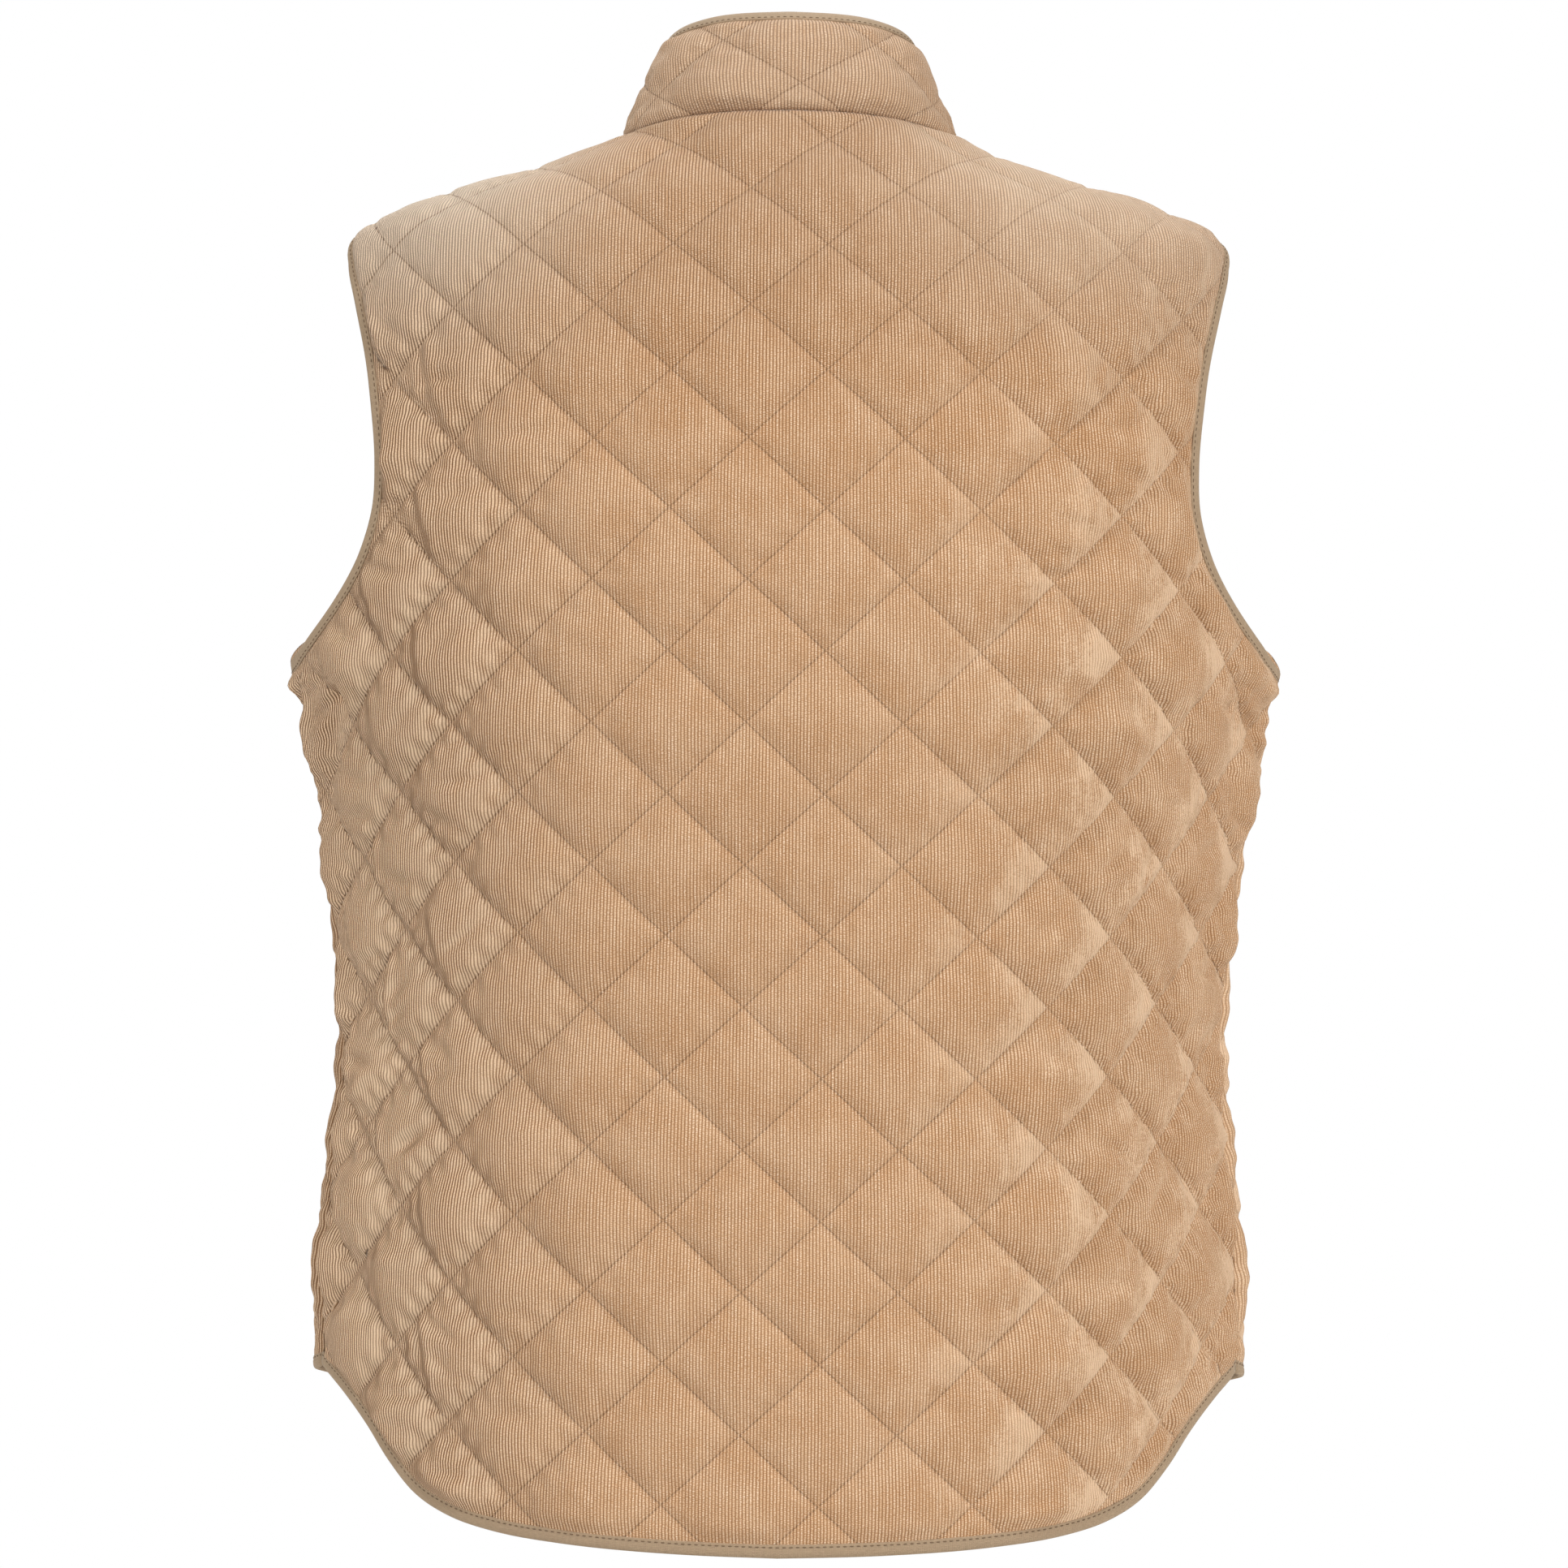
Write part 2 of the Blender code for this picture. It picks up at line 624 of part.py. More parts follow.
def from_diamonds(diamonds, crossing):
    """Flat points of diamond coordinates."""
    half = np.array([DIAMOND_WIDTH, DIAMOND_HEIGHT]) / 2
    sums = np.column_stack([diamonds[:, 0] + diamonds[:, 1], diamonds[:, 0] - diamonds[:, 1]])
    return crossing + sums * half


def quilt_lines(inset, crossing):
    """Quilting lines in a loop: the loop points where each starts and ends, and its points between."""
    diamonds = to_diamonds(inset, crossing)
    following = np.roll(diamonds, -1, axis=0)
    lines = []
    for family in (0, 1):
        here = diamonds[:, family]
        there = following[:, family]
        for number in range(math.ceil(here.min()), math.floor(here.max()) + 1):
            hits = np.flatnonzero((here < number) != (there < number))
            t = (number - here[hits]) / (there[hits] - here[hits])
            other = 1 - family
            place = diamonds[hits, other] + t * (following[hits, other] - diamonds[hits, other])
            nearest = np.where(t < 0.5, hits, (hits + 1) % len(inset))
            order = np.argsort(place)
            for a, b in zip(order[0::2], order[1::2]):
                steps = np.arange(math.ceil(place[a] * 2), math.floor(place[b] * 2) + 1) / 2
                between = np.full((len(steps), 2), float(number))
                between[:, other] = steps
                keep = inside(from_diamonds(between, crossing), inset, POINT_MARGIN)[0]
                lines.append((nearest[a], nearest[b], between[keep]))
    return lines


def triangles(loop, inset, crossing, guides, cushions):
    """Triangles of a panel's flat shape with its quilting lines, and the place of each loop point."""
    count = len(loop)
    verts = [Vector(point) for point in np.vstack([loop, inset])]
    ring = np.arange(count)
    after = (ring + 1) % count
    edges = list(zip(ring, after)) + list(zip(ring + count, after + count)) + list(zip(ring, ring + count))
    known = {}
    for start, end, between in quilt_lines(inset, crossing):
        chain = [start + count]
        for diamond, point in zip(between, from_diamonds(between, crossing)):
            key = tuple(np.round(diamond * 2).astype(int))
            if key not in known:
                known[key] = len(verts)
                verts.append(Vector(point))
            chain.append(known[key])
        chain.append(end + count)
        edges.extend((a, b) for a, b in zip(chain[:-1], chain[1:]) if a != b)
    low, high = to_diamonds(inset, crossing).min(axis=0), to_diamonds(inset, crossing).max(axis=0)
    offsets = [(0.5, 0.5)]
    if cushions:
        ends = (CUSHION_SPREAD, 1.0 - CUSHION_SPREAD)
        offsets += [(a, b) for a in ends for b in ends]
    cells = np.stack(np.meshgrid(np.arange(math.floor(low[0]), high[0]),
                                 np.arange(math.floor(low[1]), high[1])), axis=-1).reshape(-1, 2)
    middles = np.vstack([from_diamonds(cells + offset, crossing) for offset in offsets])
    verts.extend(Vector(point) for point in middles[inside(middles, inset, POINT_MARGIN)[0]])
    for guide in guides[inside(guides, inset, GUIDE_MARGIN)[0]] if len(guides) else ():
        if min((Vector(guide) - vert).length for vert in verts) > GUIDE_MARGIN:
            verts.append(Vector(guide))
    edges = [(int(a), int(b)) for a, b in edges]
    result = delaunay_2d_cdt(verts, edges, [list(range(count))], 1, NEAREST_POINTS)
    flat = np.array([tuple(point) for point in result[0]])
    place = {source: index for index, sources in enumerate(result[3]) for source in sources}
    return flat, [tuple(face) for face in result[2]], [place[index] for index in range(count)]


def outside_height(flat, inset, cloth):
    """Height of the cloth's outside over its inside: a cushion in each diamond, flat at the edges."""
    wave = np.abs(np.sin(math.pi * to_diamonds(flat, cloth.crossing))).prod(axis=1)
    wave[wave < 1.0e-4] = 0.0
    within, distance = inside(flat, inset, 0.0)
    edge = np.where(within, ramp(distance, 0.0, SEAM_FADE), 0.0)
    return WALL + PUFF * wave ** PUFF_ROUNDNESS * edge * cloth.puff_share(flat)


def material(name, colour, roughness, metallic=0.0):
    """Plain finish for one piece."""
    made = bpy.data.materials.new(name + "_finish")
    made.use_nodes = True
    shader = made.node_tree.nodes["Principled BSDF"]
    shader.inputs["Base Color"].default_value = colour
    shader.inputs["Roughness"].default_value = roughness
    shader.inputs["Metallic"].default_value = metallic
    return made


def add_solid(name, points, faces, colour, roughness=0.9, metallic=0.0):
    """One closed solid with its faces outward."""
    mesh = bpy.data.meshes.new(name)
    mesh.from_pydata([tuple(p) for p in points], [], [tuple(int(i) for i in f) for f in faces])
    work = bmesh.new()
    work.from_mesh(mesh)
    bmesh.ops.recalc_face_normals(work, faces=work.faces)
    work.to_mesh(mesh)
    work.free()
    mesh.shade_smooth()
    mesh.materials.append(material(name, colour, roughness, metallic))
    solid = bpy.data.objects.new(name, mesh)
    bpy.context.scene.collection.objects.link(solid)
    return solid


def add_panel(name, cloth, edges):
    """Quilted panel: a plain inside, an outside raised in each diamond, and a rim that joins them."""
    loop, names = stations(edges, cloth)
    inset = loop + inward(loop) * SEAM_BAND
    guides = cloth.guides()
    outer, outer_faces, outer_rim = triangles(loop, inset, cloth.crossing, guides, True)
    inner, inner_faces, inner_rim = triangles(loop, inset, cloth.crossing, guides, False)
    points = np.vstack([cloth.place(outer, outside_height(outer, inset, cloth)),
                        cloth.place(inner, np.zeros(len(inner)))])
    shift = len(outer)
    faces = outer_faces + [tuple(i + shift for i in reversed(f)) for f in inner_faces]
    for here in range(len(loop)):
        there = (here + 1) % len(loop)
        faces.append((outer_rim[there], outer_rim[here], inner_rim[here] + shift, inner_rim[there] + shift))
    add_solid(name, points, faces, CORDUROY)
    return loop, names


def binding_sections(cloth, loop, picked, trim=(0.0, 0.0)):
    """Sections of a bound tape at chosen outline points: it wraps both faces of the cloth's edge.

    An end that is not trimmed follows the seam it meets, and a trimmed one stops short of it.
    """
    near = -BINDING_GAP
    nose = near - BINDING_THICKNESS
    high = WALL + BINDING_GAP + BINDING_THICKNESS
    low = -BINDING_GAP - BINDING_THICKNESS
    profile = ((BINDING_WIDTH, high), (nose, high - BINDING_ROUND), (nose, low + BINDING_ROUND),
               (BINDING_WIDTH, low), (BINDING_WIDTH, low + BINDING_THICKNESS),
               (near, low + BINDING_THICKNESS), (near, high - BINDING_THICKNESS),
               (BINDING_WIDTH, high - BINDING_THICKNESS))
    picked = np.array(picked) % len(loop)
    direction = inward(loop)[picked]
    edge = loop[picked]
    for (end, neighbour, step), cut in zip(((0, 1, -1), (-1, -2, 1)), trim):
        ahead = loop[picked[neighbour]] - loop[picked[end]]
        ahead /= np.linalg.norm(ahead)
        square = np.array([ahead[1], -ahead[0]]) * step
        seam = loop[(picked[end] + step) % len(loop)] - loop[picked[end]]
        direction[end] = square if cut else seam / (seam @ square)
        edge[end] += ahead * cut
    rails = [cloth.place(edge + direction * depth, np.full(len(picked), out)) for depth, out in profile]
    return np.stack(rails, axis=1)


def ring_of(first, second):
    """Closed ring of two runs of tape sections that meet at both of their ends."""
    start = (first[0] + second[-1]) / 2
    turn = (first[-1] + second[0]) / 2
    return np.concatenate([[start], first[1:-1], [turn], second[1:-1]])


def add_binding(name, sections, closed):
    """Bound tape through its sections, a ring or a strip with two ends."""
    count, around = sections.shape[:2]
    faces = []
    for here in range(count if closed else count - 1):
        there = (here + 1) % count
        for k in range(around):
            j = (k + 1) % around
            faces.append((here * around + k, here * around + j, there * around + j, there * around + k))
    if not closed:
        for base in (0, (count - 1) * around):
            for a, b, c, d in ((0, 1, 6, 7), (1, 2, 5, 6), (2, 3, 4, 5)):
                faces.append((base + a, base + b, base + c, base + d))
    add_solid(name, sections.reshape(-1, 3), faces, TAPE)


def add_stud(name, cloth, flat):
    """Domed cap of a press stud lying on the upper front."""
    at = np.array([flat])
    low = WALL + STUD_GAP
    foot, tip = (cloth.place(at, np.array([out]))[0] for out in (low, low + STUD_RISE))
    turn = Vector(tip - foot).to_track_quat("Z", "Y").to_matrix()
    points = [Vector((0.0, 0.0, 0.0))]
    for ring in STUD_RINGS:
        radius = STUD_RADIUS * ring.radius_share
        for k in range(STUD_SIDES):
            angle = 2.0 * math.pi * k / STUD_SIDES
            across, along = radius * math.cos(angle), radius * math.sin(angle)
            points.append(Vector((across, along, STUD_RISE * ring.rise_share)))
    points.append(Vector((0.0, 0.0, STUD_RISE)))
    faces = []
    for k in range(STUD_SIDES):
        j = (k + 1) % STUD_SIDES
        faces.append((0, 1 + j, 1 + k))
        for ring in range(len(STUD_RINGS) - 1):
            base = 1 + ring * STUD_SIDES
            faces.append((base + k, base + j, base + STUD_SIDES + j, base + STUD_SIDES + k))
        base = 1 + (len(STUD_RINGS) - 1) * STUD_SIDES
        faces.append((base + k, base + j, len(points) - 1))
    add_solid(name, [Vector(foot) + turn @ p for p in points], faces, STUD_FINISH, 0.45, 0.6)


def build():
    """All pieces of the gilet."""
    for old in list(bpy.data.objects):
        bpy.data.objects.remove(old, do_unlink=True)

    back = BodyCloth(front=False)
    half = back_edges(back)
    other = [("right_" + name, line[::-1] * (-1.0, 1.0)) for name, line in reversed(half)]
    left_hem = half[0][1]
    hem = np.vstack([left_hem[::-1] * (-1.0, 1.0), left_hem[1:]])
    neck = np.vstack([half[4][1], (half[4][1] * (-1.0, 1.0))[::-1][1:]])
    edges = [("hem", hem)] + half[1:4] + [("neck", neck)] + other[1:4]
    back_loop, back_names = add_panel("back", back, edges)
    add_binding("binding_hem_back", binding_sections(back, back_loop, back_names["hem"]), False)

    for side, mirrored in (("left", False), ("right", True)):
        cloth = BodyCloth(front=True, mirrored=mirrored, upper=not mirrored)
        loop, names = add_panel("front_" + side, cloth, front_edges(cloth))
        edge = list(names["opening"]) + list(names["hem"])[1:]
        add_binding("binding_edge_" + side, binding_sections(cloth, loop, edge, (BINDING_TRIM, 0.0)), False)
        prefix = "right_" if mirrored else ""
        behind = binding_sections(back, back_loop, back_names[prefix + "armhole"])
        before = binding_sections(cloth, loop, names["armhole"])
        before = before if mirrored else before[::-1]
        add_binding("binding_armhole_" + side, ring_of(behind, before), True)
        if not mirrored:
            for number, height in enumerate(STUD_HEIGHTS, 1):
                flat = cloth.flat(np.zeros(1), np.array([height * MM]))[0]
                add_stud("stud_%d" % number, cloth, flat)

    collar = CollarCloth()
    loop, names = add_panel("collar", collar, collar_edges(collar))
    trim = (BINDING_TRIM, BINDING_TRIM)
    add_binding("binding_collar", binding_sections(collar, loop, names["free"], trim), False)
    rise = STUD_COLLAR_RISE
    flat = (collar.half_length * (1.0 - COLLAR_TAPER * rise), COLLAR_HEIGHT * rise)
    add_stud("stud_collar", collar, flat)


build()
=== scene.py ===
# %% [markdown]
# The looks of a quilted corduroy gilet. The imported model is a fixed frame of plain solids, and
# this lesson dresses it: fine cloth shells in place of the solids, quilting and edge stitches,
# bound edges, press studs, then light and camera. Everything is in metres, +Z is up, the front of
# the gilet faces -Y and the wearer's left is +X.

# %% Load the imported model
import math
from collections import namedtuple

import bpy
import numpy as np
from mathutils import Matrix, Vector


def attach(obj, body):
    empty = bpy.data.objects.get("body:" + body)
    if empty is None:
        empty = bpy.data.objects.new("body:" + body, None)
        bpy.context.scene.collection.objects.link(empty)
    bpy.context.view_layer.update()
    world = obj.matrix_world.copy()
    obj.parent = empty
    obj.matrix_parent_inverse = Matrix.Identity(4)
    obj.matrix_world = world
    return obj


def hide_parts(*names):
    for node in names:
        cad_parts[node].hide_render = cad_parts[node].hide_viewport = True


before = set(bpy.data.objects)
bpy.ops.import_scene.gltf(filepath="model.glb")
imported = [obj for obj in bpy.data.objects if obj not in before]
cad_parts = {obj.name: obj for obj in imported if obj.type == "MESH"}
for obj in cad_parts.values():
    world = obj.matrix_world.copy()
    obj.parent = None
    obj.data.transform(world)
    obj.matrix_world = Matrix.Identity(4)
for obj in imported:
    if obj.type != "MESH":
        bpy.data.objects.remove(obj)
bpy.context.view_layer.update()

MM = 0.001

# %% [markdown]
# A worn gilet keeps the form of a trunk, but no trunk is built. The form is a stack of horizontal
# sections, each a pinched oval with its own half width and its own depth to the back and to the
# front. A short table holds the sections, and a cubic curve through its rows fills in the rest.

# %% The figure that shapes the cloth
Section = namedtuple("Section", "height half_width back front pinch")


def table_of(kind, *rows):
    """Table whose rows all have the named columns of one kind."""
    return tuple(kind(*row) for row in rows)


SECTIONS = table_of(
    Section,
    (-730, 227.0, 138, 112, 0.62),
    (-601, 229.5, 140, 113, 0.64),
    (-536, 226.5, 140, 112, 0.65),
    (-504, 222.5, 140, 111, 0.65),
    (-456, 218.5, 140, 110, 0.65),
    (-391, 223.0, 142, 112, 0.64),
    (-326, 232.0, 146, 116, 0.60),
    (-294, 240.0, 148, 117, 0.54),
    (-268, 245.0, 148, 118, 0.47),
    (-230, 242.5, 147, 117, 0.44),
    (-180, 238.0, 142, 113, 0.38),
    (-130, 233.0, 131, 104, 0.28),
    (-90, 226.5, 116, 91, 0.14),
    (-70, 221.0, 106, 82, 0.06),
    (-55, 214.0, 98, 73, 0.0),
    (-38, 179.0, 86, 61, 0.0),
    (-22, 125.0, 74, 53, 0.0),
    (-6, 86.0, 62, 46, 0.0),
    (3, 78.0, 57, 43, 0.0),
    (16, 73.0, 50, 41, 0.0),
)
SECTION_TABLE = np.array(SECTIONS, float) * (MM, MM, MM, MM, 1.0)
PINCH_POWER = 6


def smooth(places, values, at):
    """Cubic curve through the rows of a table, with slopes taken from the neighbouring rows."""
    places = np.asarray(places, float)
    values = np.asarray(values, float)
    slopes = np.gradient(values, places)
    at = np.clip(at, places[0], places[-1])
    cell = np.clip(np.searchsorted(places, at) - 1, 0, len(places) - 2)
    span = places[cell + 1] - places[cell]
    t = (at - places[cell]) / span
    rise = values[cell + 1] - values[cell]
    start = slopes[cell] * span
    end = slopes[cell + 1] * span
    return values[cell] + t * (start + t * (3 * rise - 2 * start - end + t * (start + end - 2 * rise)))


def ramp(value, low, high):
    """Soft step: 3 t squared less 2 t cubed, with t the share of the way from low to high."""
    t = np.clip((value - low) / (high - low), 0.0, 1.0)
    return t * t * (3.0 - 2.0 * t)


def section(height, turn):
    """x = half width times sin(turn); y = depth times cos(turn), pinched in near the side."""
    columns = (smooth(SECTION_TABLE[:, 0], SECTION_TABLE[:, k], height) for k in range(1, 5))
    half_width, back, front, pinch = columns
    depth = np.where(turn < math.pi / 2, back, front)
    return half_width * np.sin(turn), depth * np.cos(turn) * (1.0 - pinch * np.sin(turn) ** PINCH_POWER)


print("figure sections:", len(SECTIONS))

# %% [markdown]
# Cloth is cut flat. A flat point has two coordinates: across, the arc round the figure from the
# centre line, and along, the length up the cloth. Wales and quilting lines are straight in these
# coordinates, as they were when the cloth was sewn. Looking a place up on the figure means
# undoing two lengths, so both are kept as tables that whole arrays of points read at once.

# %% From flat cloth to the figure
TURNS = np.linspace(0.0, math.pi, 361)
HEIGHTS = np.linspace(SECTION_TABLE[0, 0], SECTION_TABLE[-1, 0], 374)
SHARES = np.linspace(0.0, 1.0, 401)
ACROSS = np.arange(0.0, 0.3476, 0.005)
ALONGS = np.arange(-0.36, 0.56, 0.002)
DATUM_HEIGHT = -400.0 * MM
PROBE = 0.5 * MM


def lengths(points):
    """Running length of a polyline: the sum of the steps up to each point."""
    steps = np.linalg.norm(np.diff(points, axis=0), axis=1)
    return np.concatenate([[0.0], np.cumsum(steps)])


def place_in(axis, value):
    """Cell and share of each value on an evenly spaced axis."""
    at = np.clip((value - axis[0]) / (axis[1] - axis[0]), 0.0, len(axis) - 1.001)
    cell = at.astype(int)
    return cell, at - cell


def look_up(table, rows, row, columns, column):
    """Value of a table between its rows and columns, mixed from the four nearest entries."""
    i, s = place_in(rows, row)
    j, t = place_in(columns, column)
    low = table[i, j] * (1.0 - t) + table[i, j + 1] * t
    high = table[i + 1, j] * (1.0 - t) + table[i + 1, j + 1] * t
    return low * (1.0 - s) + high * s


section_x, section_y = section(HEIGHTS[:, None], TURNS[None, :])
steps = np.hypot(np.diff(section_x, axis=1), np.diff(section_y, axis=1))
ARCS = np.concatenate([np.zeros((len(HEIGHTS), 1)), np.cumsum(steps, axis=1)], axis=1)
TURN_AT = np.array([np.interp(SHARES, row / row[-1], TURNS) for row in ARCS])


def side_arc(height, front):
    """Arc from a centre line to the side line, where the figure is widest."""
    side = np.interp(height, HEIGHTS, ARCS[:, len(TURNS) // 2])
    return np.interp(height, HEIGHTS, ARCS[:, -1]) - side if front else side


def on_figure(across, height, front):
    """Point of the figure at a signed arc from the centre back or the centre front."""
    whole = np.interp(height, HEIGHTS, ARCS[:, -1])
    reach = np.clip(np.abs(across), 0.0, whole)
    reach = whole - reach if front else reach
    x, y = section(height, look_up(TURN_AT, HEIGHTS, height, SHARES, reach / whole))
    return np.stack([np.sign(across) * x, y, height], axis=-1)


def arc_at(x, height, front):
    """Arc from a centre line to the place at a distance x from the middle."""
    half_width = smooth(SECTION_TABLE[:, 0], SECTION_TABLE[:, 1], height)
    turn = np.arcsin(np.clip(np.abs(x) / half_width, 0.0, 1.0))
    arc = look_up(ARCS, HEIGHTS, height, TURNS, math.pi - turn if front else turn)
    return np.sign(x) * (np.interp(height, HEIGHTS, ARCS[:, -1]) - arc if front else arc)


print("girth at the chest:", round(4 * float(side_arc(-0.25, False)), 3), "m")

# %% [markdown]
# Three things move the cloth off the plain form. Folds sink it along a line: two large ones on
# each side and three small ones under each arm. The upper front lies a little forward where it
# covers the lower one. The side seams pucker, because their thread draws them up: the silhouette
# runs in small uneven scallops there, with one pinch just below each armhole.

# %% Folds, lap and puckered side seams
Fold = namedtuple("Fold", "start end half_width depth")
FOLDS = table_of(
    Fold,
    ((216, 44, -283), (233, 22, -340), 9, 5.0),
    ((-214, 46, -290), (-232, 22, -352), 10, 4.0),
    ((205, 60, -520), (222, 34, -585), 12, 3.0),
    ((-205, 60, -500), (-221, 36, -560), 12, 3.0),
    ((224, 44, -272), (242, 12, -287), 4, 2.2),
    ((218, 50, -281), (240, 12, -300), 4, 2.6),
    ((224, 38, -298), (236, 10, -313), 5, 1.8),
    ((-222, 46, -273), (-242, 12, -286), 4, 2.4),
    ((-220, 46, -284), (-240, 10, -298), 4, 2.4),
    ((-226, 34, -297), (-237, 8, -309), 5, 2.0),
)
LAP_LIFT = 5.8 * MM
LAP_RAMP = (18.0 * MM, 60.0 * MM)
SCALLOP = 0.3 * MM
SCALLOP_REACH = 26.0 * MM
SCALLOP_START = (-640.0 * MM, -580.0 * MM)
SCALLOP_END = (-275.0 * MM, -250.0 * MM)
RIGHT_SHIFT = 1.9
Ripple = namedtuple("Ripple", "share turn_per_metre shifts phase")
RIPPLES = table_of(
    Ripple,
    (1.0, 520.0, 1.0, 0.0),
    (0.9, 337.0, 2.0, 0.8),
    (0.6, 211.0, -1.0, 0.0),
)
PINCH_HEIGHT = -289.0 * MM
PINCH_REACH = 11.0 * MM
PINCH_DEPTH = 3.6 * MM


def from_line(points, row):
    """Share along the straight line of a table's row, and distance from it, for every point."""
    start = np.array(row.start) * MM
    line = np.array(row.end) * MM - start
    t = np.clip((points - start) @ line / (line @ line), 0.0, 1.0)
    return t, np.linalg.norm(points - start - t[..., None] * line, axis=-1)


def fold_sink(points):
    """Sum over the folds of depth times exp(-(distance to the fold's line / half width) squared)."""
    sink = np.zeros(points.shape[:-1])
    for fold in FOLDS:
        distance = from_line(points, fold)[1]
        sink += fold.depth * MM * np.exp(-((distance / (fold.half_width * MM)) ** 2))
    return sink


def lap_lift(from_centre):
    """Full lift over the lap, falling to nothing along a soft ramp."""
    return LAP_LIFT * (1.0 - ramp(from_centre, *LAP_RAMP))


def scallops(points):
    """Sideways ripple of the side seams, three sines of the height, and a pinch below the armhole."""
    x, _, z = np.moveaxis(points, -1, 0)
    half_width = smooth(SECTION_TABLE[:, 0], SECTION_TABLE[:, 1], z)
    near = np.exp(-(((half_width - np.abs(x)) / SCALLOP_REACH) ** 2))
    near = near * ramp(z, *SCALLOP_START) * (1.0 - ramp(z, *SCALLOP_END))
    shift = np.where(x > 0.0, 0.0, RIGHT_SHIFT)
    wave = sum(ripple.share * np.sin(z * ripple.turn_per_metre + ripple.shifts * shift + ripple.phase)
               for ripple in RIPPLES)
    pinch = PINCH_DEPTH * np.exp(-(((z - PINCH_HEIGHT) / PINCH_REACH) ** 2))
    moved = np.array(points)
    moved[..., 0] += np.sign(x) * near * (SCALLOP * wave - pinch)
    return moved


print("folds:", len(FOLDS))

# %% [markdown]
# A cloth object now answers one question for a whole array of flat points: where are they in
# space, at a given height out of the figure? The body panels read the tables above. The collar
# has its own form, a band that leans from the neck seam to a smaller rim.

# %% Cloth of the body and of the collar
def crossed(a, b):
    """Unit vectors square to two fields of vectors."""
    normal = np.cross(a, b)
    return normal / np.linalg.norm(normal, axis=-1, keepdims=True)


class BodyCloth:
    """Cloth on the body, back or front, in flat coordinates across and along."""

    def __init__(self, front, on_right=False, upper=False):
        self.front = front
        self.side = np.array((-1.0, 1.0, 1.0) if on_right else (1.0, 1.0, 1.0))
        self.upper = upper
        columns = on_figure(np.repeat(ACROSS[:, None], len(HEIGHTS), 1),
                            np.repeat(HEIGHTS[None, :], len(ACROSS), 0), front)
        runs = np.array([lengths(column) for column in columns])
        datum = np.array([np.interp(DATUM_HEIGHT, HEIGHTS, run) for run in runs])
        self.runs = runs - datum[:, None]
        self.height_at = np.array([np.interp(ALONGS, run, HEIGHTS) for run in self.runs])

    def flat(self, across, height):
        """Flat points at distances across and heights."""
        return np.stack([across, look_up(self.runs, ACROSS, np.abs(across), HEIGHTS, height)], axis=-1)

    def place(self, flat, out):
        """Figure point plus out times the normal, less the folds, with the lap and the scallops."""
        across, along = np.moveaxis(flat, -1, 0)
        height = look_up(self.height_at, ACROSS, np.abs(across), ALONGS, along)
        here = on_figure(across, height, self.front)
        over = on_figure(across + PROBE, height, self.front) - on_figure(across - PROBE, height, self.front)
        up = on_figure(across, height + PROBE, self.front) - on_figure(across, height - PROBE, self.front)
        normal = crossed(over, up) if self.front else crossed(up, over)
        points = here + normal * (out - fold_sink(here * self.side))[..., None]
        if self.upper:
            points[..., 1] -= lap_lift(across)
        return scallops(points * self.side)


NeckRow = namedtuple("NeckRow", "x height")
BACK_NECK = table_of(
    NeckRow, (0, 4.5), (30, 4.0), (52, 2.4), (69, -0.2), (78, -2.2), (82.4, -3.0)
)
FRONT_NECK = table_of(
    NeckRow, (0, -70.0), (22, -66.5), (43, -57.0), (59, -43.0), (71, -27.0), (79, -12.5), (82.4, -3.0)
)
RimRow = namedtuple("RimRow", "turn height")
COLLAR_RIM = table_of(
    RimRow, (0, 56.5), (40, 55.0), (72, 49.0), (90, 41.5), (135, 13.0), (180, -12.0)
)
COLLAR_HEIGHT = 72.0 * MM
COLLAR_TAPER = 0.20
COLLAR_TOP_HALF_WIDTH = 62.0 * MM
COLLAR_TOP_BACK = 15.0 * MM
COLLAR_TOP_FRONT = -97.0 * MM
COLLAR_BULGE_BACK = 7.0 * MM
COLLAR_BULGE_FRONT = 0.5 * MM
COLLAR_BULGE_ENDS = 0.45
COLLAR_CENTRE = np.array((0.0, -20.0 * MM, 0.0))
SPLINE_DETAIL = 40


def resample(points, count):
    """The same polyline in a number of equal steps."""
    run = lengths(points)
    at = np.linspace(0.0, run[-1], count + 1)
    return np.column_stack([np.interp(at, run, column) for column in points.T])


def spline(rows, spacing=2.0 * MM):
    """Even points on a smooth curve through the rows of a table in millimetres."""
    rows = np.asarray(rows, float) * MM
    share = lengths(rows) / lengths(rows)[-1]
    fine = np.linspace(0.0, 1.0, SPLINE_DETAIL * len(rows))
    curve = np.column_stack([smooth(share, column, fine) for column in rows.T])
    return resample(curve, math.ceil(lengths(curve)[-1] / spacing))


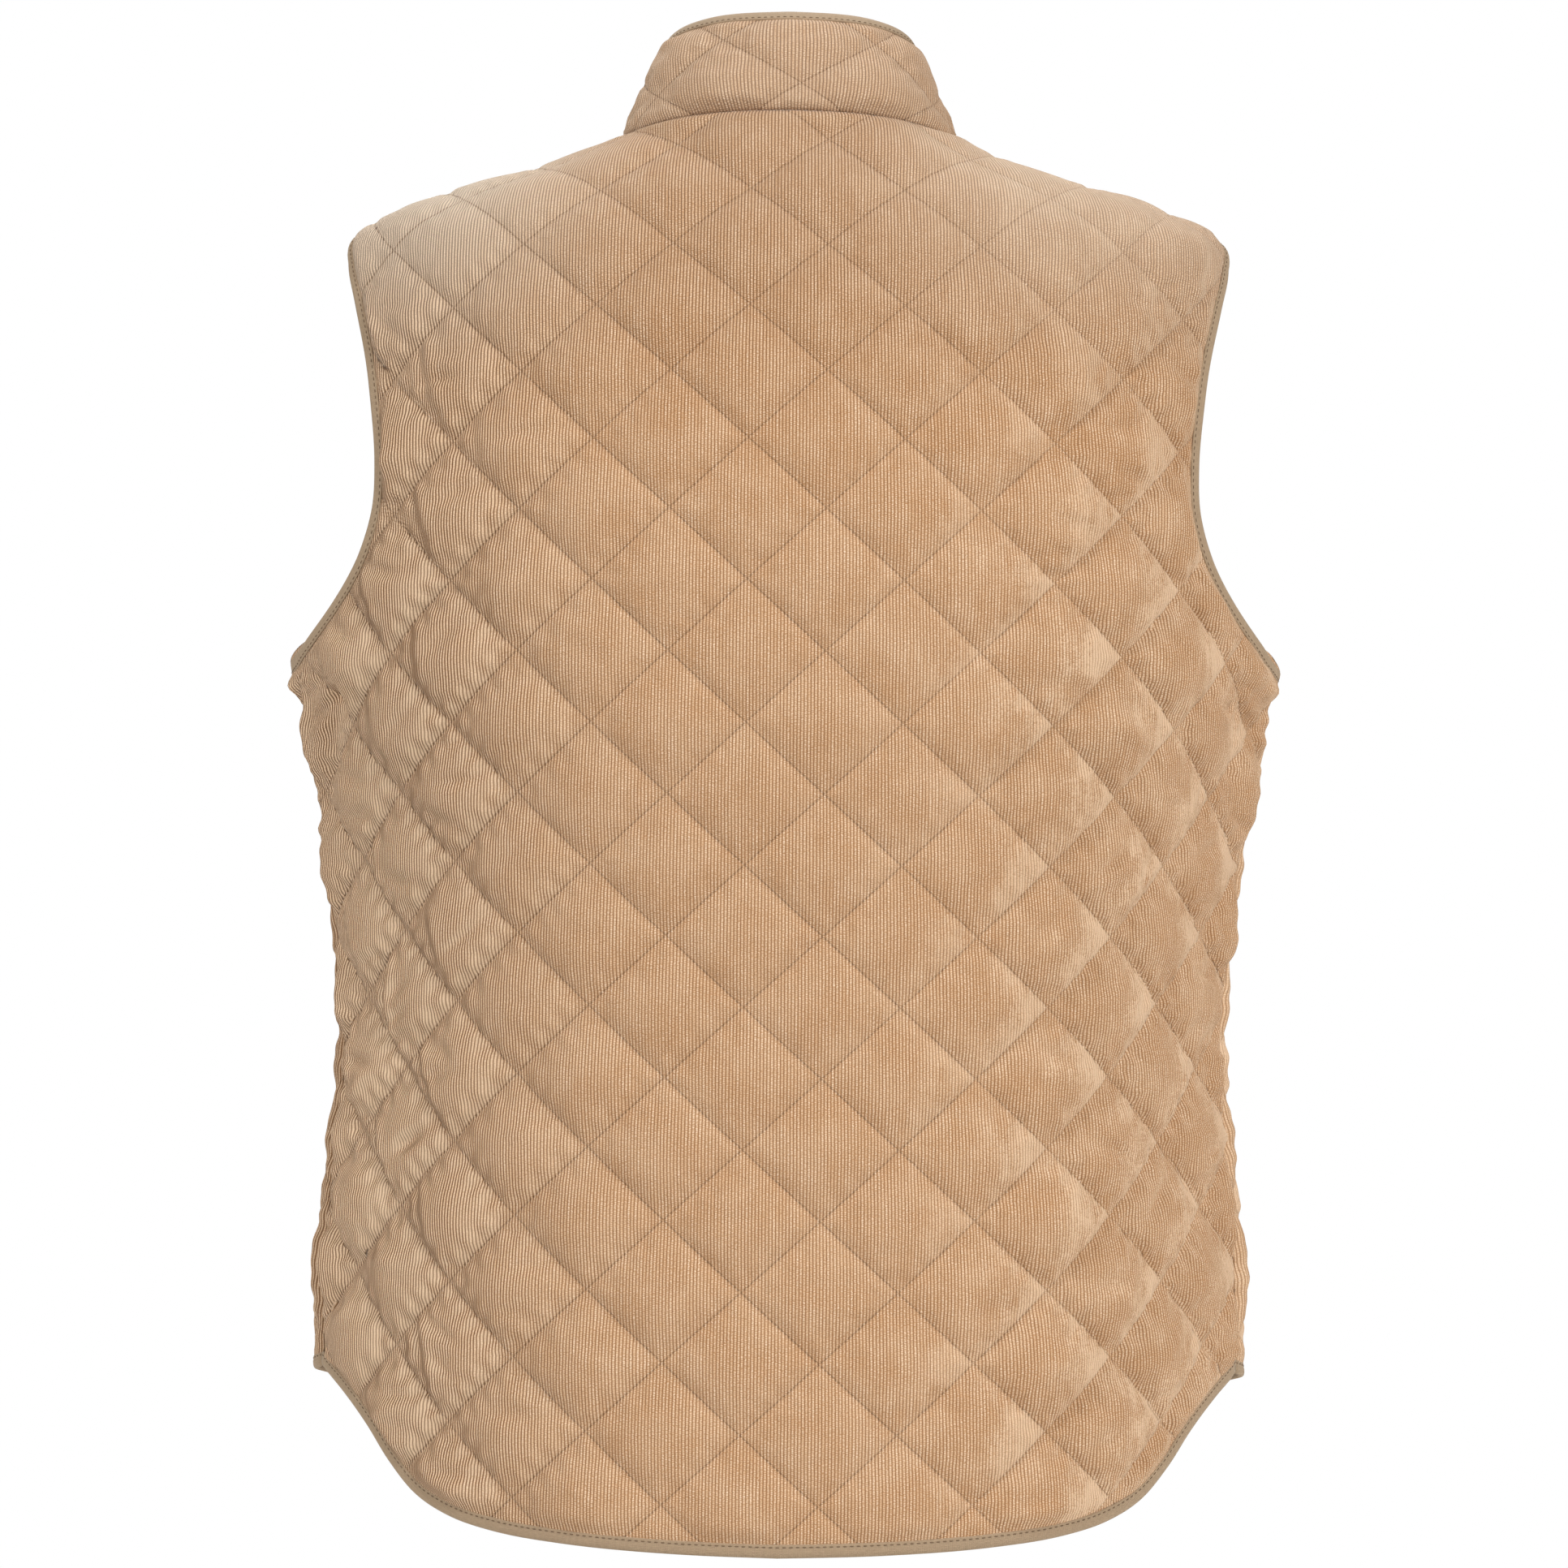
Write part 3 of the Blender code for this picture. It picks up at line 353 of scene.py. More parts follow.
class CollarCloth:
    """Cloth of the collar: across round the neck from centre back, and along from seam to rim."""

    def __init__(self):
        halves = []
        for rows, front in ((BACK_NECK, False), (FRONT_NECK, True)):
            line = spline(rows)
            halves.append(on_figure(arc_at(line[:, 0], line[:, 1], front), line[:, 1], front))
        self.base = np.vstack([halves[0], halves[1][::-1][1:]])
        self.base_share = lengths(self.base) / lengths(self.base)[-1]
        self.half_length = lengths(self.base)[-1]
        turn = np.linspace(0.0, 180.0, 181)
        middle = (COLLAR_TOP_BACK + COLLAR_TOP_FRONT) / 2
        reach = (COLLAR_TOP_BACK - COLLAR_TOP_FRONT) / 2
        rim = np.array(COLLAR_RIM, float)
        self.top = np.column_stack([COLLAR_TOP_HALF_WIDTH * np.sin(np.radians(turn)),
                                    middle + reach * np.cos(np.radians(turn)),
                                    smooth(rim[:, 0], rim[:, 1], turn) * MM])
        self.top_share = lengths(self.top) / lengths(self.top)[-1]

    def bare(self, round_neck, rise):
        """Straight line from the neck seam to the rim at one share round both, bulged in its middle."""
        share = np.abs(round_neck) / self.half_length
        past = share > 1.0
        share = np.where(past, 2.0 - share, share)
        low = np.stack([np.interp(share, self.base_share, c) for c in self.base.T], axis=-1)
        high = np.stack([np.interp(share, self.top_share, c) for c in self.top.T], axis=-1)
        points = low + (high - low) * rise[..., None]
        outward = low * (1.0, 1.0, 0.0) - COLLAR_CENTRE
        outward /= np.linalg.norm(outward, axis=-1, keepdims=True)
        forward = ramp(share, 0.0, COLLAR_BULGE_ENDS)
        bulge = COLLAR_BULGE_BACK + (COLLAR_BULGE_FRONT - COLLAR_BULGE_BACK) * forward
        points = points + outward * (bulge * 4.0 * rise * (1.0 - rise))[..., None]
        points[..., 0] *= np.where(past, -1.0, 1.0) * np.where(round_neck < 0.0, -1.0, 1.0)
        return points

    def place(self, flat, out):
        """Collar point plus out times the normal, with the upper end lifted over the lower one."""
        rise = flat[..., 1] / COLLAR_HEIGHT
        round_neck = flat[..., 0] / (1.0 - COLLAR_TAPER * rise)
        lift = PROBE / COLLAR_HEIGHT
        over = self.bare(round_neck + PROBE, rise) - self.bare(round_neck - PROBE, rise)
        up = self.bare(round_neck, rise + lift) - self.bare(round_neck, rise - lift)
        points = self.bare(round_neck, rise) + crossed(up, over) * out[..., None]
        points[..., 1] -= lap_lift(self.half_length - round_neck)
        return points


back_cloth = BodyCloth(front=False)
left_cloth = BodyCloth(front=True, upper=True)
right_cloth = BodyCloth(front=True, on_right=True)
collar_cloth = CollarCloth()
print("half neck seam:", round(collar_cloth.half_length, 4), "m")

# %% [markdown]
# Each panel has four sides in the flat: hem, two edges and top. A Coons patch fills them with a
# grid: it adds the blend of the two edges to the blend of hem and top, and takes away the blend
# of the four corners. The grid then follows every edge exactly, so seams meet point for point.

# %% Outlines of the panels
EdgeRow = namedtuple("EdgeRow", "first second")
BACK_HEM = table_of(
    EdgeRow, (0, -689.0), (50, -687.8), (104, -685.0), (140, -681.5), (166, -676.5), (189, -668.0),
    (209, -654.5), (228, -639.0), (250, -625.5)
)
FRONT_HEM = table_of(
    EdgeRow, (21, -672.0), (80, -671.0), (130, -667.0), (165, -659.0), (195, -646.0), (228, -629.5)
)
BACK_ARMHOLE = table_of(
    EdgeRow, (-55, 0), (-57, 9), (-66, 19), (-86, 39), (-110, 56), (-140, 70), (-170, 79), (-192, 81),
    (-214, 74), (-236, 56), (-253, 35), (-264, 16), (-268, 0)
)
FRONT_ARMHOLE = table_of(
    EdgeRow, (-55, 0), (-57, 9), (-68, 20), (-92, 41), (-122, 62), (-155, 77), (-186, 82), (-212, 76),
    (-236, 57), (-253, 35), (-264, 16), (-268, 0)
)
SIDE_SEAM_BACKWARD = 12.0 * MM
SHOULDER_TIP_HEIGHT = -55.0 * MM
SIDE_NECK_HEIGHT = -3.0 * MM
UNDERARM_HEIGHT = -268.0 * MM
HEM_SIDE_HEIGHT = -614.0 * MM
OVERLAP = 16.0 * MM
CORNER_RADIUS = 35.0 * MM
COLLAR_CORNER_RADIUS = 14.0 * MM
COLLAR_SEAM_GAP = 0.3 * MM
CORNER_TURNS = np.linspace(0.0, math.pi / 2, 13)
CORNER_MIDDLE = len(CORNER_TURNS) // 2
SEAM_POINTS = 120
COLLAR_END_POINTS = 12
COLLAR_RIM_POINTS = 40


def mirrored(line):
    """The line on the other side of the centre line, its points in the same order."""
    return line * (-1.0, 1.0)


def side_edge(front):
    """Side seam from the hem up to the underarm: at the hem it lies behind the side line."""
    height = np.linspace(HEM_SIDE_HEIGHT, UNDERARM_HEIGHT, SEAM_POINTS)
    behind = SIDE_SEAM_BACKWARD * (height - UNDERARM_HEIGHT) / (HEM_SIDE_HEIGHT - UNDERARM_HEIGHT)
    return np.column_stack([side_arc(height, front) + (behind if front else -behind), height])


def armhole_edge(rows, front):
    """Armhole from the underarm up to the shoulder tip."""
    line = spline(rows)[::-1]
    return np.column_stack([side_arc(line[:, 0], front) - line[:, 1], line[:, 0]])


def shoulder_edge(front):
    """Shoulder seam on the ridge of the shoulder, from its tip to the side neck point."""
    height = np.linspace(SHOULDER_TIP_HEIGHT, SIDE_NECK_HEIGHT, SEAM_POINTS)
    return np.column_stack([side_arc(height, front), height])


def neck_edge(rows, front):
    """Neck edge from its first row to the side neck point."""
    line = spline(rows)
    return np.column_stack([arc_at(line[:, 0], line[:, 1], front), line[:, 1]])


def hem_edge(rows, front):
    """Hem from its first row to the side seam."""
    end = side_edge(front)[0] / MM
    return spline(np.vstack([np.array(rows, float), end]))


def back_sides():
    """Half outline of the back, edge by edge, in flat coordinates."""
    edges = {"hem": hem_edge(BACK_HEM, False), "side": side_edge(False),
             "armhole": armhole_edge(BACK_ARMHOLE, False), "shoulder": shoulder_edge(False),
             "neck": neck_edge(BACK_NECK, False)}
    return {name: back_cloth.flat(*line.T) for name, line in edges.items()}


def front_sides():
    """Outline of a front; its lower front corner is an arc, half of it counted to each side."""
    low = FRONT_HEM[0].second * MM
    arc = np.column_stack([CORNER_RADIUS * (1.0 - np.cos(CORNER_TURNS)) - OVERLAP,
                           low + CORNER_RADIUS * (1.0 - np.sin(CORNER_TURNS))])
    rows = np.array(FRONT_NECK, float)
    neck = neck_edge(np.vstack([rows[1:2] * (-1.0, 1.0), rows]), True)
    neck = neck[neck[:, 0] > -OVERLAP]
    edges = {"hem": np.vstack([arc[CORNER_MIDDLE:-1], hem_edge(FRONT_HEM, True)]),
             "side": side_edge(True), "armhole": armhole_edge(FRONT_ARMHOLE, True),
             "shoulder": shoulder_edge(True), "neck": neck,
             "opening": np.vstack([arc[CORNER_MIDDLE::-1], neck[:1]])}
    return {name: left_cloth.flat(*line.T) for name, line in edges.items()}


def collar_sides():
    """Outline of the collar: seam, two ends with rounded corners, and rim."""
    end = collar_cloth.half_length + OVERLAP
    aside = COLLAR_CORNER_RADIUS * (1.0 - np.cos(CORNER_TURNS))
    below = COLLAR_CORNER_RADIUS * (1.0 - np.sin(CORNER_TURNS))
    corner = np.column_stack([end * (1.0 - COLLAR_TAPER) - aside, COLLAR_HEIGHT - below])
    corner[:, 0] += end * COLLAR_TAPER * (1.0 - corner[:, 1] / COLLAR_HEIGHT)
    low = np.array([end * (1.0 - COLLAR_TAPER * COLLAR_SEAM_GAP / COLLAR_HEIGHT), COLLAR_SEAM_GAP])
    rise = np.vstack([np.linspace(low, corner[0], COLLAR_END_POINTS), corner[1:CORNER_MIDDLE + 1]])
    level = np.linspace(corner[-1], (0.0, COLLAR_HEIGHT), COLLAR_RIM_POINTS)
    half_rim = np.vstack([corner[CORNER_MIDDLE:], level[1:]])
    return {"seam": np.vstack([mirrored(low), low]), "end": rise,
            "rim": np.vstack([mirrored(half_rim)[:-1], half_rim[::-1]])}


BACK = back_sides()
FRONT = front_sides()
COLLAR = collar_sides()
print("back hem to neck:", round(float(BACK["neck"][0, 1] - BACK["hem"][0, 1]), 3), "m of cloth")

# %% [markdown]
# The grid of a panel is fine enough for each diamond to have about a thousand points. Edges of
# one side are resampled one by one, so that corners such as the underarm stay on a grid point.

# %% Coons grids
def joined(edges, counts):
    """One side of a patch: its edges in equal steps, end to end."""
    parts = [resample(edge, count) for edge, count in zip(edges, counts)]
    return np.vstack([parts[0]] + [part[1:] for part in parts[1:]])


def coons(bottom, top, start, end):
    """Blend of start and end edge, plus blend of bottom and top, less blend of the four corners."""
    u = np.linspace(0.0, 1.0, len(bottom))[None, :, None]
    v = np.linspace(0.0, 1.0, len(start))[:, None, None]
    between = start[:, None] * (1.0 - u) + end[:, None] * u
    upward = bottom[None] * (1.0 - v) + top[None] * v
    corners = (bottom[0] * (1.0 - u) + bottom[-1] * u) * (1.0 - v) + (top[0] * (1.0 - u) + top[-1] * u) * v
    return between + upward - corners


SIDE_ROWS = 172
ARMHOLE_ROWS = 132
SHOULDER_COLUMNS = 88
NECK_COLUMNS = 120
FRONT_COLUMNS = 76
COLLAR_COLUMNS = 320
COLLAR_ROWS = 40
ROWS = (SIDE_ROWS, ARMHOLE_ROWS)

left_edge = joined([BACK["side"], BACK["armhole"]], ROWS)
back_hem = np.vstack([mirrored(BACK["hem"])[::-1], BACK["hem"][1:]])
back_neck = np.vstack([mirrored(BACK["neck"])[::-1], BACK["neck"][1:]])
back_top = joined([mirrored(BACK["shoulder"]), back_neck, BACK["shoulder"][::-1]],
                  (SHOULDER_COLUMNS, NECK_COLUMNS, SHOULDER_COLUMNS))
back_grid = coons(resample(back_hem, len(back_top) - 1), back_top, mirrored(left_edge), left_edge)

front_top = joined([FRONT["neck"], FRONT["shoulder"][::-1]], (FRONT_COLUMNS, FRONT_COLUMNS))
front_edge = resample(FRONT["opening"], sum(ROWS))
front_side = joined([FRONT["side"], FRONT["armhole"]], ROWS)
front_grid = coons(resample(FRONT["hem"], len(front_top) - 1), front_top, front_edge, front_side)

collar_end = resample(COLLAR["end"], COLLAR_ROWS)
collar_grid = coons(resample(COLLAR["seam"], COLLAR_COLUMNS), resample(COLLAR["rim"], COLLAR_COLUMNS),
                    mirrored(collar_end), collar_end)
print("grid points:", back_grid.shape[:2], front_grid.shape[:2], collar_grid.shape[:2])

# %% [markdown]
# Quilting pins the cloth down along two families of lines and lets the wadding lift it between
# them. The product of two sines is zero on every line and one in the middle of each diamond; a
# power under one makes it rise steeply beside the thread and stay round on top. The wadding sags,
# so each cushion is fuller below its middle. Real quilting is never even, so each diamond gets its
# own height and its own creases, troughs or ridges, from a hash of its number, and small puckers
# run along the threads. At the flanks the cloth is slack: it puffs more than at the spine, and
# upright pleats stand at the outer corners of the diamonds.

# %% Quilting relief
WALL = 1.8 * MM
PUFF = 5.0 * MM
PUFF_ROUNDNESS = 0.58
SAG = 0.3
CREASE_KEYS = (11.0, 23.0, 37.0)
CREASE_TURN = math.pi * 0.42
CREASE_TURN_MIDDLE = 0.55
CREASE_SPREAD = (22.0 * MM, 34.0 * MM)
CREASE_MIDDLE = (0.5, 0.58)
CREASE_POWER = 1.2
CREASE_WIDTH = 2.6
CREASE_REACH = 12.0 * MM
RIDGE_CHANCE = 0.3
RIDGE_HEIGHT = -0.7
PLEAT_KEY = 53.0
PLEAT_PLACE = 13.0
PLEAT_SPREAD = 11.0
PLEAT_SLANT = 0.1
PLEAT_SLANT_SPREAD = 0.35
PLEAT_PHASE = 6.0
PLEAT_CHANCE = (0.15, 0.85)
PLEAT_BEND = 1.2 * MM
PLEAT_BEND_LENGTH = 9.0 * MM
TROUGH_PLACE = 3.2 * MM
TROUGH_WIDTH = 3.4 * MM
RIDGE_PLACE = -3.4 * MM
RIDGE_WIDTH = 4.4 * MM
RIDGE_SHARE = 0.6
PUCKER_PLACE = 5.0 * MM
PUCKER_REACH = 3.6 * MM
PUCKER_LENGTH = 1.9 * MM
PUCKER_DRIFT = 21.0 * MM
PUCKER_SWAY = 2.2
PUCKER_PHASE = 9.0
DIAMOND = np.array((74.0 * MM, 67.4 * MM))
LINE_SPACING = DIAMOND[0] * DIAMOND[1] / np.hypot(*DIAMOND)
LINE_STEP = np.hypot(*DIAMOND) / 2
BODY_CROSSING = (18.2 * MM, -295.4 * MM)
COLLAR_CROSSING = np.array((-5.0 * MM, 18.3 * MM))


def to_diamonds(flat):
    """p = across / width + along / height and q = across / width - along / height."""
    u, v = np.moveaxis(flat / DIAMOND, -1, 0)
    return u + v, u - v


def chance(i, j, k):
    """Even pseudo-random share for a diamond's numbers: the fraction of a large sine."""
    return np.mod(np.sin(i * 127.1 + j * 311.7 + k * 74.7) * 43758.5453, 1.0)


def cushions(p, q):
    """(|sin pi p| times |sin pi q|) to a power: zero on the lines, one in each diamond's middle."""
    return np.abs(np.sin(math.pi * p) * np.sin(math.pi * q)) ** PUFF_ROUNDNESS


def in_diamond(flat):
    """Numbers of the diamond that holds each point, and the point's place from its middle."""
    p, q = to_diamonds(flat)
    i, j = np.floor(p), np.floor(q)
    middle = np.stack([(i + j + 1.0) / 2.0, (i - j) / 2.0], axis=-1) * DIAMOND
    dx, dy = np.moveaxis(flat - middle, -1, 0)
    return i, j, dx, dy


def creases(flat, number):
    """One trough or ridge in each diamond: a Gaussian across its own direction, faded along it."""
    i, j, dx, dy = in_diamond(flat)
    turn = CREASE_TURN * (chance(i, j, number) - CREASE_TURN_MIDDLE)
    dx = dx - CREASE_SPREAD[0] * (chance(i, j, number + 1.0) - CREASE_MIDDLE[0])
    dy = dy - CREASE_SPREAD[1] * (chance(i, j, number + 2.0) - CREASE_MIDDLE[1])
    along = dx * np.cos(turn) + dy * np.sin(turn)
    beside = dy * np.cos(turn) - dx * np.sin(turn)
    width = (CREASE_WIDTH + CREASE_WIDTH * chance(i, j, number + 3.0)) * MM
    way = np.where(chance(i, j, number + 5.0) > RIDGE_CHANCE, 1.0, RIDGE_HEIGHT)
    depth = chance(i, j, number + 4.0) ** CREASE_POWER * way
    return depth * np.exp(-((beside / width) ** 2) - (along / CREASE_REACH) ** 2)


def pleats(flat, outward):
    """Upright ridge with a trough on its outer side, curved, at the outer corner of each diamond."""
    i, j, dx, dy = in_diamond(flat)
    place = (PLEAT_PLACE + PLEAT_SPREAD * chance(i, j, PLEAT_KEY)) * MM
    place = place + (PLEAT_SLANT + PLEAT_SLANT_SPREAD * chance(i, j, PLEAT_KEY + 1.0)) * dy
    phase = PLEAT_PHASE * chance(i, j, PLEAT_KEY + 2.0)
    place = place + PLEAT_BEND * np.sin(dy / PLEAT_BEND_LENGTH + phase)
    beside = dx * outward - place
    trough = np.exp(-(((beside - TROUGH_PLACE) / TROUGH_WIDTH) ** 2))
    ridge = np.exp(-(((beside - RIDGE_PLACE) / RIDGE_WIDTH) ** 2))
    return ramp(chance(i, j, PLEAT_KEY + 3.0), *PLEAT_CHANCE) * (trough - RIDGE_SHARE * ridge)


def puckers(flat):
    """Short waves beside each line: a sine of the place along it, faded with the distance from it."""
    p, q = to_diamonds(flat)
    total = 0.0
    for here, there in ((p, q), (q, p)):
        line = np.round(here)
        away = (here - line) * LINE_SPACING
        place = there * LINE_STEP
        phase = PUCKER_PHASE * chance(line, 3.0, 1.0) + PUCKER_SWAY * np.sin(place / PUCKER_DRIFT + line)
        near = np.exp(-((np.abs(away) - PUCKER_PLACE) / PUCKER_REACH) ** 2)
        total = total + near * np.sin(place / PUCKER_LENGTH + phase)
    return total


print("line spacing:", round(LINE_SPACING / MM, 1), "mm")

# %% [markdown]
# A panel joins these together. Near a bound edge the tape flattens the cushions, and towards a
# sewn seam the whole wall dives in, as the seam allowance pulls it, so seams show as soft grooves.
# The collar has cushions of its own, lower at its sides, with creases where it bends.

# %% Panels
EDGE_POINTS = 300
DISTANCE_BLOCKS = 40
FLANK_FADE = (60.0 * MM, 210.0 * MM)
LOW_FADE = (-60.0 * MM, 200.0 * MM)
HIGH_FADE = (270.0 * MM, 370.0 * MM)
HIGH_SIDE_FADE = (30.0 * MM, 130.0 * MM)
HIGH_CALM = 0.6
YOKE_FADE = (130.0 * MM, 300.0 * MM)
SLACK_MIDDLE = 0.22
SLACK_FLANK = 0.68
SLACK_LOW = 0.1
PUFF_MIDDLE = 0.75
PUFF_FLANK = 0.55
PUFF_LOW = 0.2
PUFF_YOKE = 0.25
PLEAT_FADE = (110.0 * MM, 210.0 * MM)
PLEAT_STRENGTH = 0.65
PLEAT_LEFT_MORE = 0.15
UNEVEN_KEY = 7.0
UNEVEN_LEAST = 0.86
UNEVEN_SPREAD = 0.28
DENT_DEPTH = 4.8 * MM
DENT_LIMIT = 1.5
DENT_SLACK_POWER = 1.3
DENT_CUSHION_POWER = 0.7
CREASE_SHARE = 0.8
PUCKER_HEIGHT = 0.55 * MM
PUCKER_LEAST = 0.4
BOUND_CALM = (3.5 * MM, 13.0 * MM)
SEAM_CALM = 8.0 * MM
SEAM_DIVE = 3.5 * MM
SEAM_WALL = 0.15
LAP_CALM = (16.0 * MM, 40.0 * MM)
FRONT_SIDE_FADE = (215.0 * MM, 285.0 * MM)
FRONT_LIFT = 0.9
FRONT_LIFT_LOSS = 0.45
FRONT_SLACK = 0.6
FRONT_SLACK_LOSS = 0.4
COLLAR_SIDE_FADE = (55.0 * MM, 105.0 * MM)
COLLAR_LIFT = 0.9
COLLAR_LIFT_LOSS = 0.45
COLLAR_SLACK = 0.45
COLLAR_SINK = 2.0
COLLAR_CREASE_ENDS = (0.06, 0.94)


def distance_to(points, line):
    """Distance of every flat point from the nearest point of a line, in blocks of rows."""
    blocks = [np.sqrt(((block[:, None] - line[None]) ** 2).sum(axis=-1).min(axis=1))
              for block in np.array_split(points.reshape(-1, 2), DISTANCE_BLOCKS)]
    return np.concatenate(blocks).reshape(points.shape[:-1])


class Panel:
    """A quilted panel: its cloth, its grid, and the edges that are bound or sewn."""

    def __init__(self, cloth, grid, bound, sewn, crossing, hand=1.0):
        self.cloth = cloth
        self.hand = hand
        self.grid = grid
        self.bound = np.vstack([resample(line, EDGE_POINTS) for line in bound])
        self.sewn = np.vstack([resample(line, EDGE_POINTS) for line in sewn])
        self.crossing = crossing
        self.loop = np.vstack([grid[0, :-1], grid[:-1, -1], grid[-1, :0:-1], grid[:0:-1, 0]])

    def swell(self, flat):
        """How far the wadding lifts the cloth here, and how slack the cloth is."""
        across, along = np.moveaxis(flat, -1, 0)
        flank = ramp(np.abs(across), *FLANK_FADE)
        low = ramp(-along, *LOW_FADE)
        calm = 1.0 - HIGH_CALM * (ramp(along, *HIGH_FADE) * ramp(np.abs(across), *HIGH_SIDE_FADE))
        yoke = ramp(along, *YOKE_FADE) * (1.0 - flank)
        slack = (SLACK_MIDDLE + SLACK_FLANK * flank + SLACK_LOW * low) * calm
        return PUFF * (PUFF_MIDDLE + PUFF_FLANK * flank + PUFF_LOW * low + PUFF_YOKE * yoke) * calm, slack

    def side_pleats(self, flat):
        """Pleats that grow towards the side seams, deeper on the left flank than on the right."""
        outward = np.where(flat[..., 0] > 0.0, 1.0, -1.0)
        flank = ramp(np.abs(flat[..., 0]), *PLEAT_FADE) * (PLEAT_STRENGTH + PLEAT_LEFT_MORE * outward)
        return flank * pleats(flat - self.crossing, outward)

    def flatten(self, flat):
        """Share of the cushions that is left beside a lap."""
        return 1.0

    def outside(self, flat):
        """Wall plus cushion plus puckers less creases, flattened at edges, sunk at seams."""
        local = flat - self.crossing
        p, q = to_diamonds(local)
        lift, slack = self.swell(flat)
        i, j = np.floor(p), np.floor(q)
        cushion = cushions(p, q)
        uneven = UNEVEN_LEAST + UNEVEN_SPREAD * chance(i, j, UNEVEN_KEY)
        sag = 1.0 - SAG * (p - i - q + j)
        relief = lift * cushion * uneven * sag
        dents = sum(creases(local, key) for key in CREASE_KEYS)
        dents = DENT_LIMIT * np.tanh((CREASE_SHARE * dents + self.side_pleats(flat)) / DENT_LIMIT)
        relief = relief - DENT_DEPTH * slack ** DENT_SLACK_POWER * cushion ** DENT_CUSHION_POWER * dents
        relief = relief + PUCKER_HEIGHT * (PUCKER_LEAST + slack) * puckers(local)
        bound = ramp(distance_to(flat, self.bound), *BOUND_CALM)
        seam = distance_to(flat, self.sewn)
        keep = bound * ramp(seam, 0.0, SEAM_CALM) * self.flatten(flat)
        return WALL * (SEAM_WALL + (1.0 - SEAM_WALL) * ramp(seam, 0.0, SEAM_DIVE)) + relief * keep


class FrontPanel(Panel):
    """A front, flat where the two fronts lie on each other and calmer than the back at its side."""

    def swell(self, flat):
        """The back's lift and slack, both made smaller."""
        lift, slack = super().swell(flat)
        side = ramp(flat[..., 0], *FRONT_SIDE_FADE)
        return lift * (FRONT_LIFT - FRONT_LIFT_LOSS * side), slack * (FRONT_SLACK - FRONT_SLACK_LOSS * side)

    def flatten(self, flat):
        """Grows from nothing at the lap to one beside it."""
        return ramp(flat[..., 0], *LAP_CALM)


Crease = namedtuple("Crease", "start end half_width depth")
COLLAR_CREASES = table_of(
    Crease,
    ((113, 3), (62, 30), 4.5, 2.0),
    ((120, 10), (78, 36), 4.0, 1.3),
    ((-115, 2), (-66, 32), 4.5, 1.8),
    ((-122, 11), (-84, 37), 4.0, 1.2),
    ((-30, 33), (34, 31), 6.0, 0.9),
)


class CollarPanel(Panel):
    """The collar, with shallower cushions and creases where it bends round the neck."""

    def swell(self, flat):
        """An even lift less the collar's own creases."""
        sink = np.zeros(flat.shape[:-1])
        for crease in COLLAR_CREASES:
            t, beside = from_line(flat, crease)
            fade = np.sin(math.pi * np.clip(t, *COLLAR_CREASE_ENDS)) ** 0.5
            sink = sink + crease.depth * MM * fade * np.exp(-((beside / (crease.half_width * MM)) ** 2))
        side = ramp(np.abs(flat[..., 0]), *COLLAR_SIDE_FADE)
        lift = PUFF * (COLLAR_LIFT - COLLAR_LIFT_LOSS * side) - COLLAR_SINK * sink
        return lift, np.full(sink.shape, COLLAR_SLACK)

    def flatten(self, flat):
        """Grows from nothing at the lapped ends to one beside them."""
        rise = flat[..., 1] / COLLAR_HEIGHT
        end = collar_cloth.half_length - np.abs(flat[..., 0]) / (1.0 - COLLAR_TAPER * rise)
        return ramp(end, *LAP_CALM)


def crossing_of(cloth):
    """Flat place of one quilting crossing of the body."""
    return cloth.flat(np.array([BODY_CROSSING[0]]), np.array([BODY_CROSSING[1]]))[0]


armholes = [BACK["armhole"], mirrored(BACK["armhole"])]
sewn_back = [BACK["side"], mirrored(BACK["side"]), BACK["shoulder"], mirrored(BACK["shoulder"]), back_neck]
back_panel = Panel(back_cloth, back_grid, [back_hem] + armholes, sewn_back, crossing_of(back_cloth))
sewn_front = [FRONT["side"], FRONT["shoulder"], FRONT["neck"]]
bound_front = [FRONT["hem"], FRONT["opening"], FRONT["armhole"]]
left_panel = FrontPanel(left_cloth, front_grid, bound_front, sewn_front, crossing_of(left_cloth))
right_panel = FrontPanel(right_cloth, front_grid, bound_front, sewn_front, crossing_of(right_cloth), -1.0)
collar_panel = CollarPanel(collar_cloth, collar_grid, [COLLAR["rim"], collar_end, mirrored(collar_end)],
                           [COLLAR["seam"]], COLLAR_CROSSING)
print("panels: back, two fronts, collar")

# %% [markdown]
# Each panel becomes a thin closed shell: the quilted outside, a plain inside with a quarter of the
# points each way, and a rim between them. Each piece keeps its flat coordinates as a UV map, so
# the materials can draw wales and quilting lines in true millimetres, turned round on the right
# front so that it goes on from the back. Each point also keeps the slope of the cloth across it,
# from which the corduroy paints shade on slopes to one side and light on slopes to the other.

# %% Shells
INSIDE_STEP = 4


def grid_quads(rows, columns):
    """Quads of a grid of points counted row by row."""
    number = np.arange(rows * columns).reshape(rows, columns)
    corners = (number[:-1, :-1], number[:-1, 1:], number[1:, 1:], number[1:, :-1])
    return np.stack(corners, axis=-1).reshape(-1, 4)


def border(rows, columns):
    """Numbers of the border points of a grid, once round."""
    number = np.arange(rows * columns).reshape(rows, columns)
    return np.concatenate([number[0, :-1], number[:-1, -1], number[-1, :0:-1], number[:0:-1, 0]])


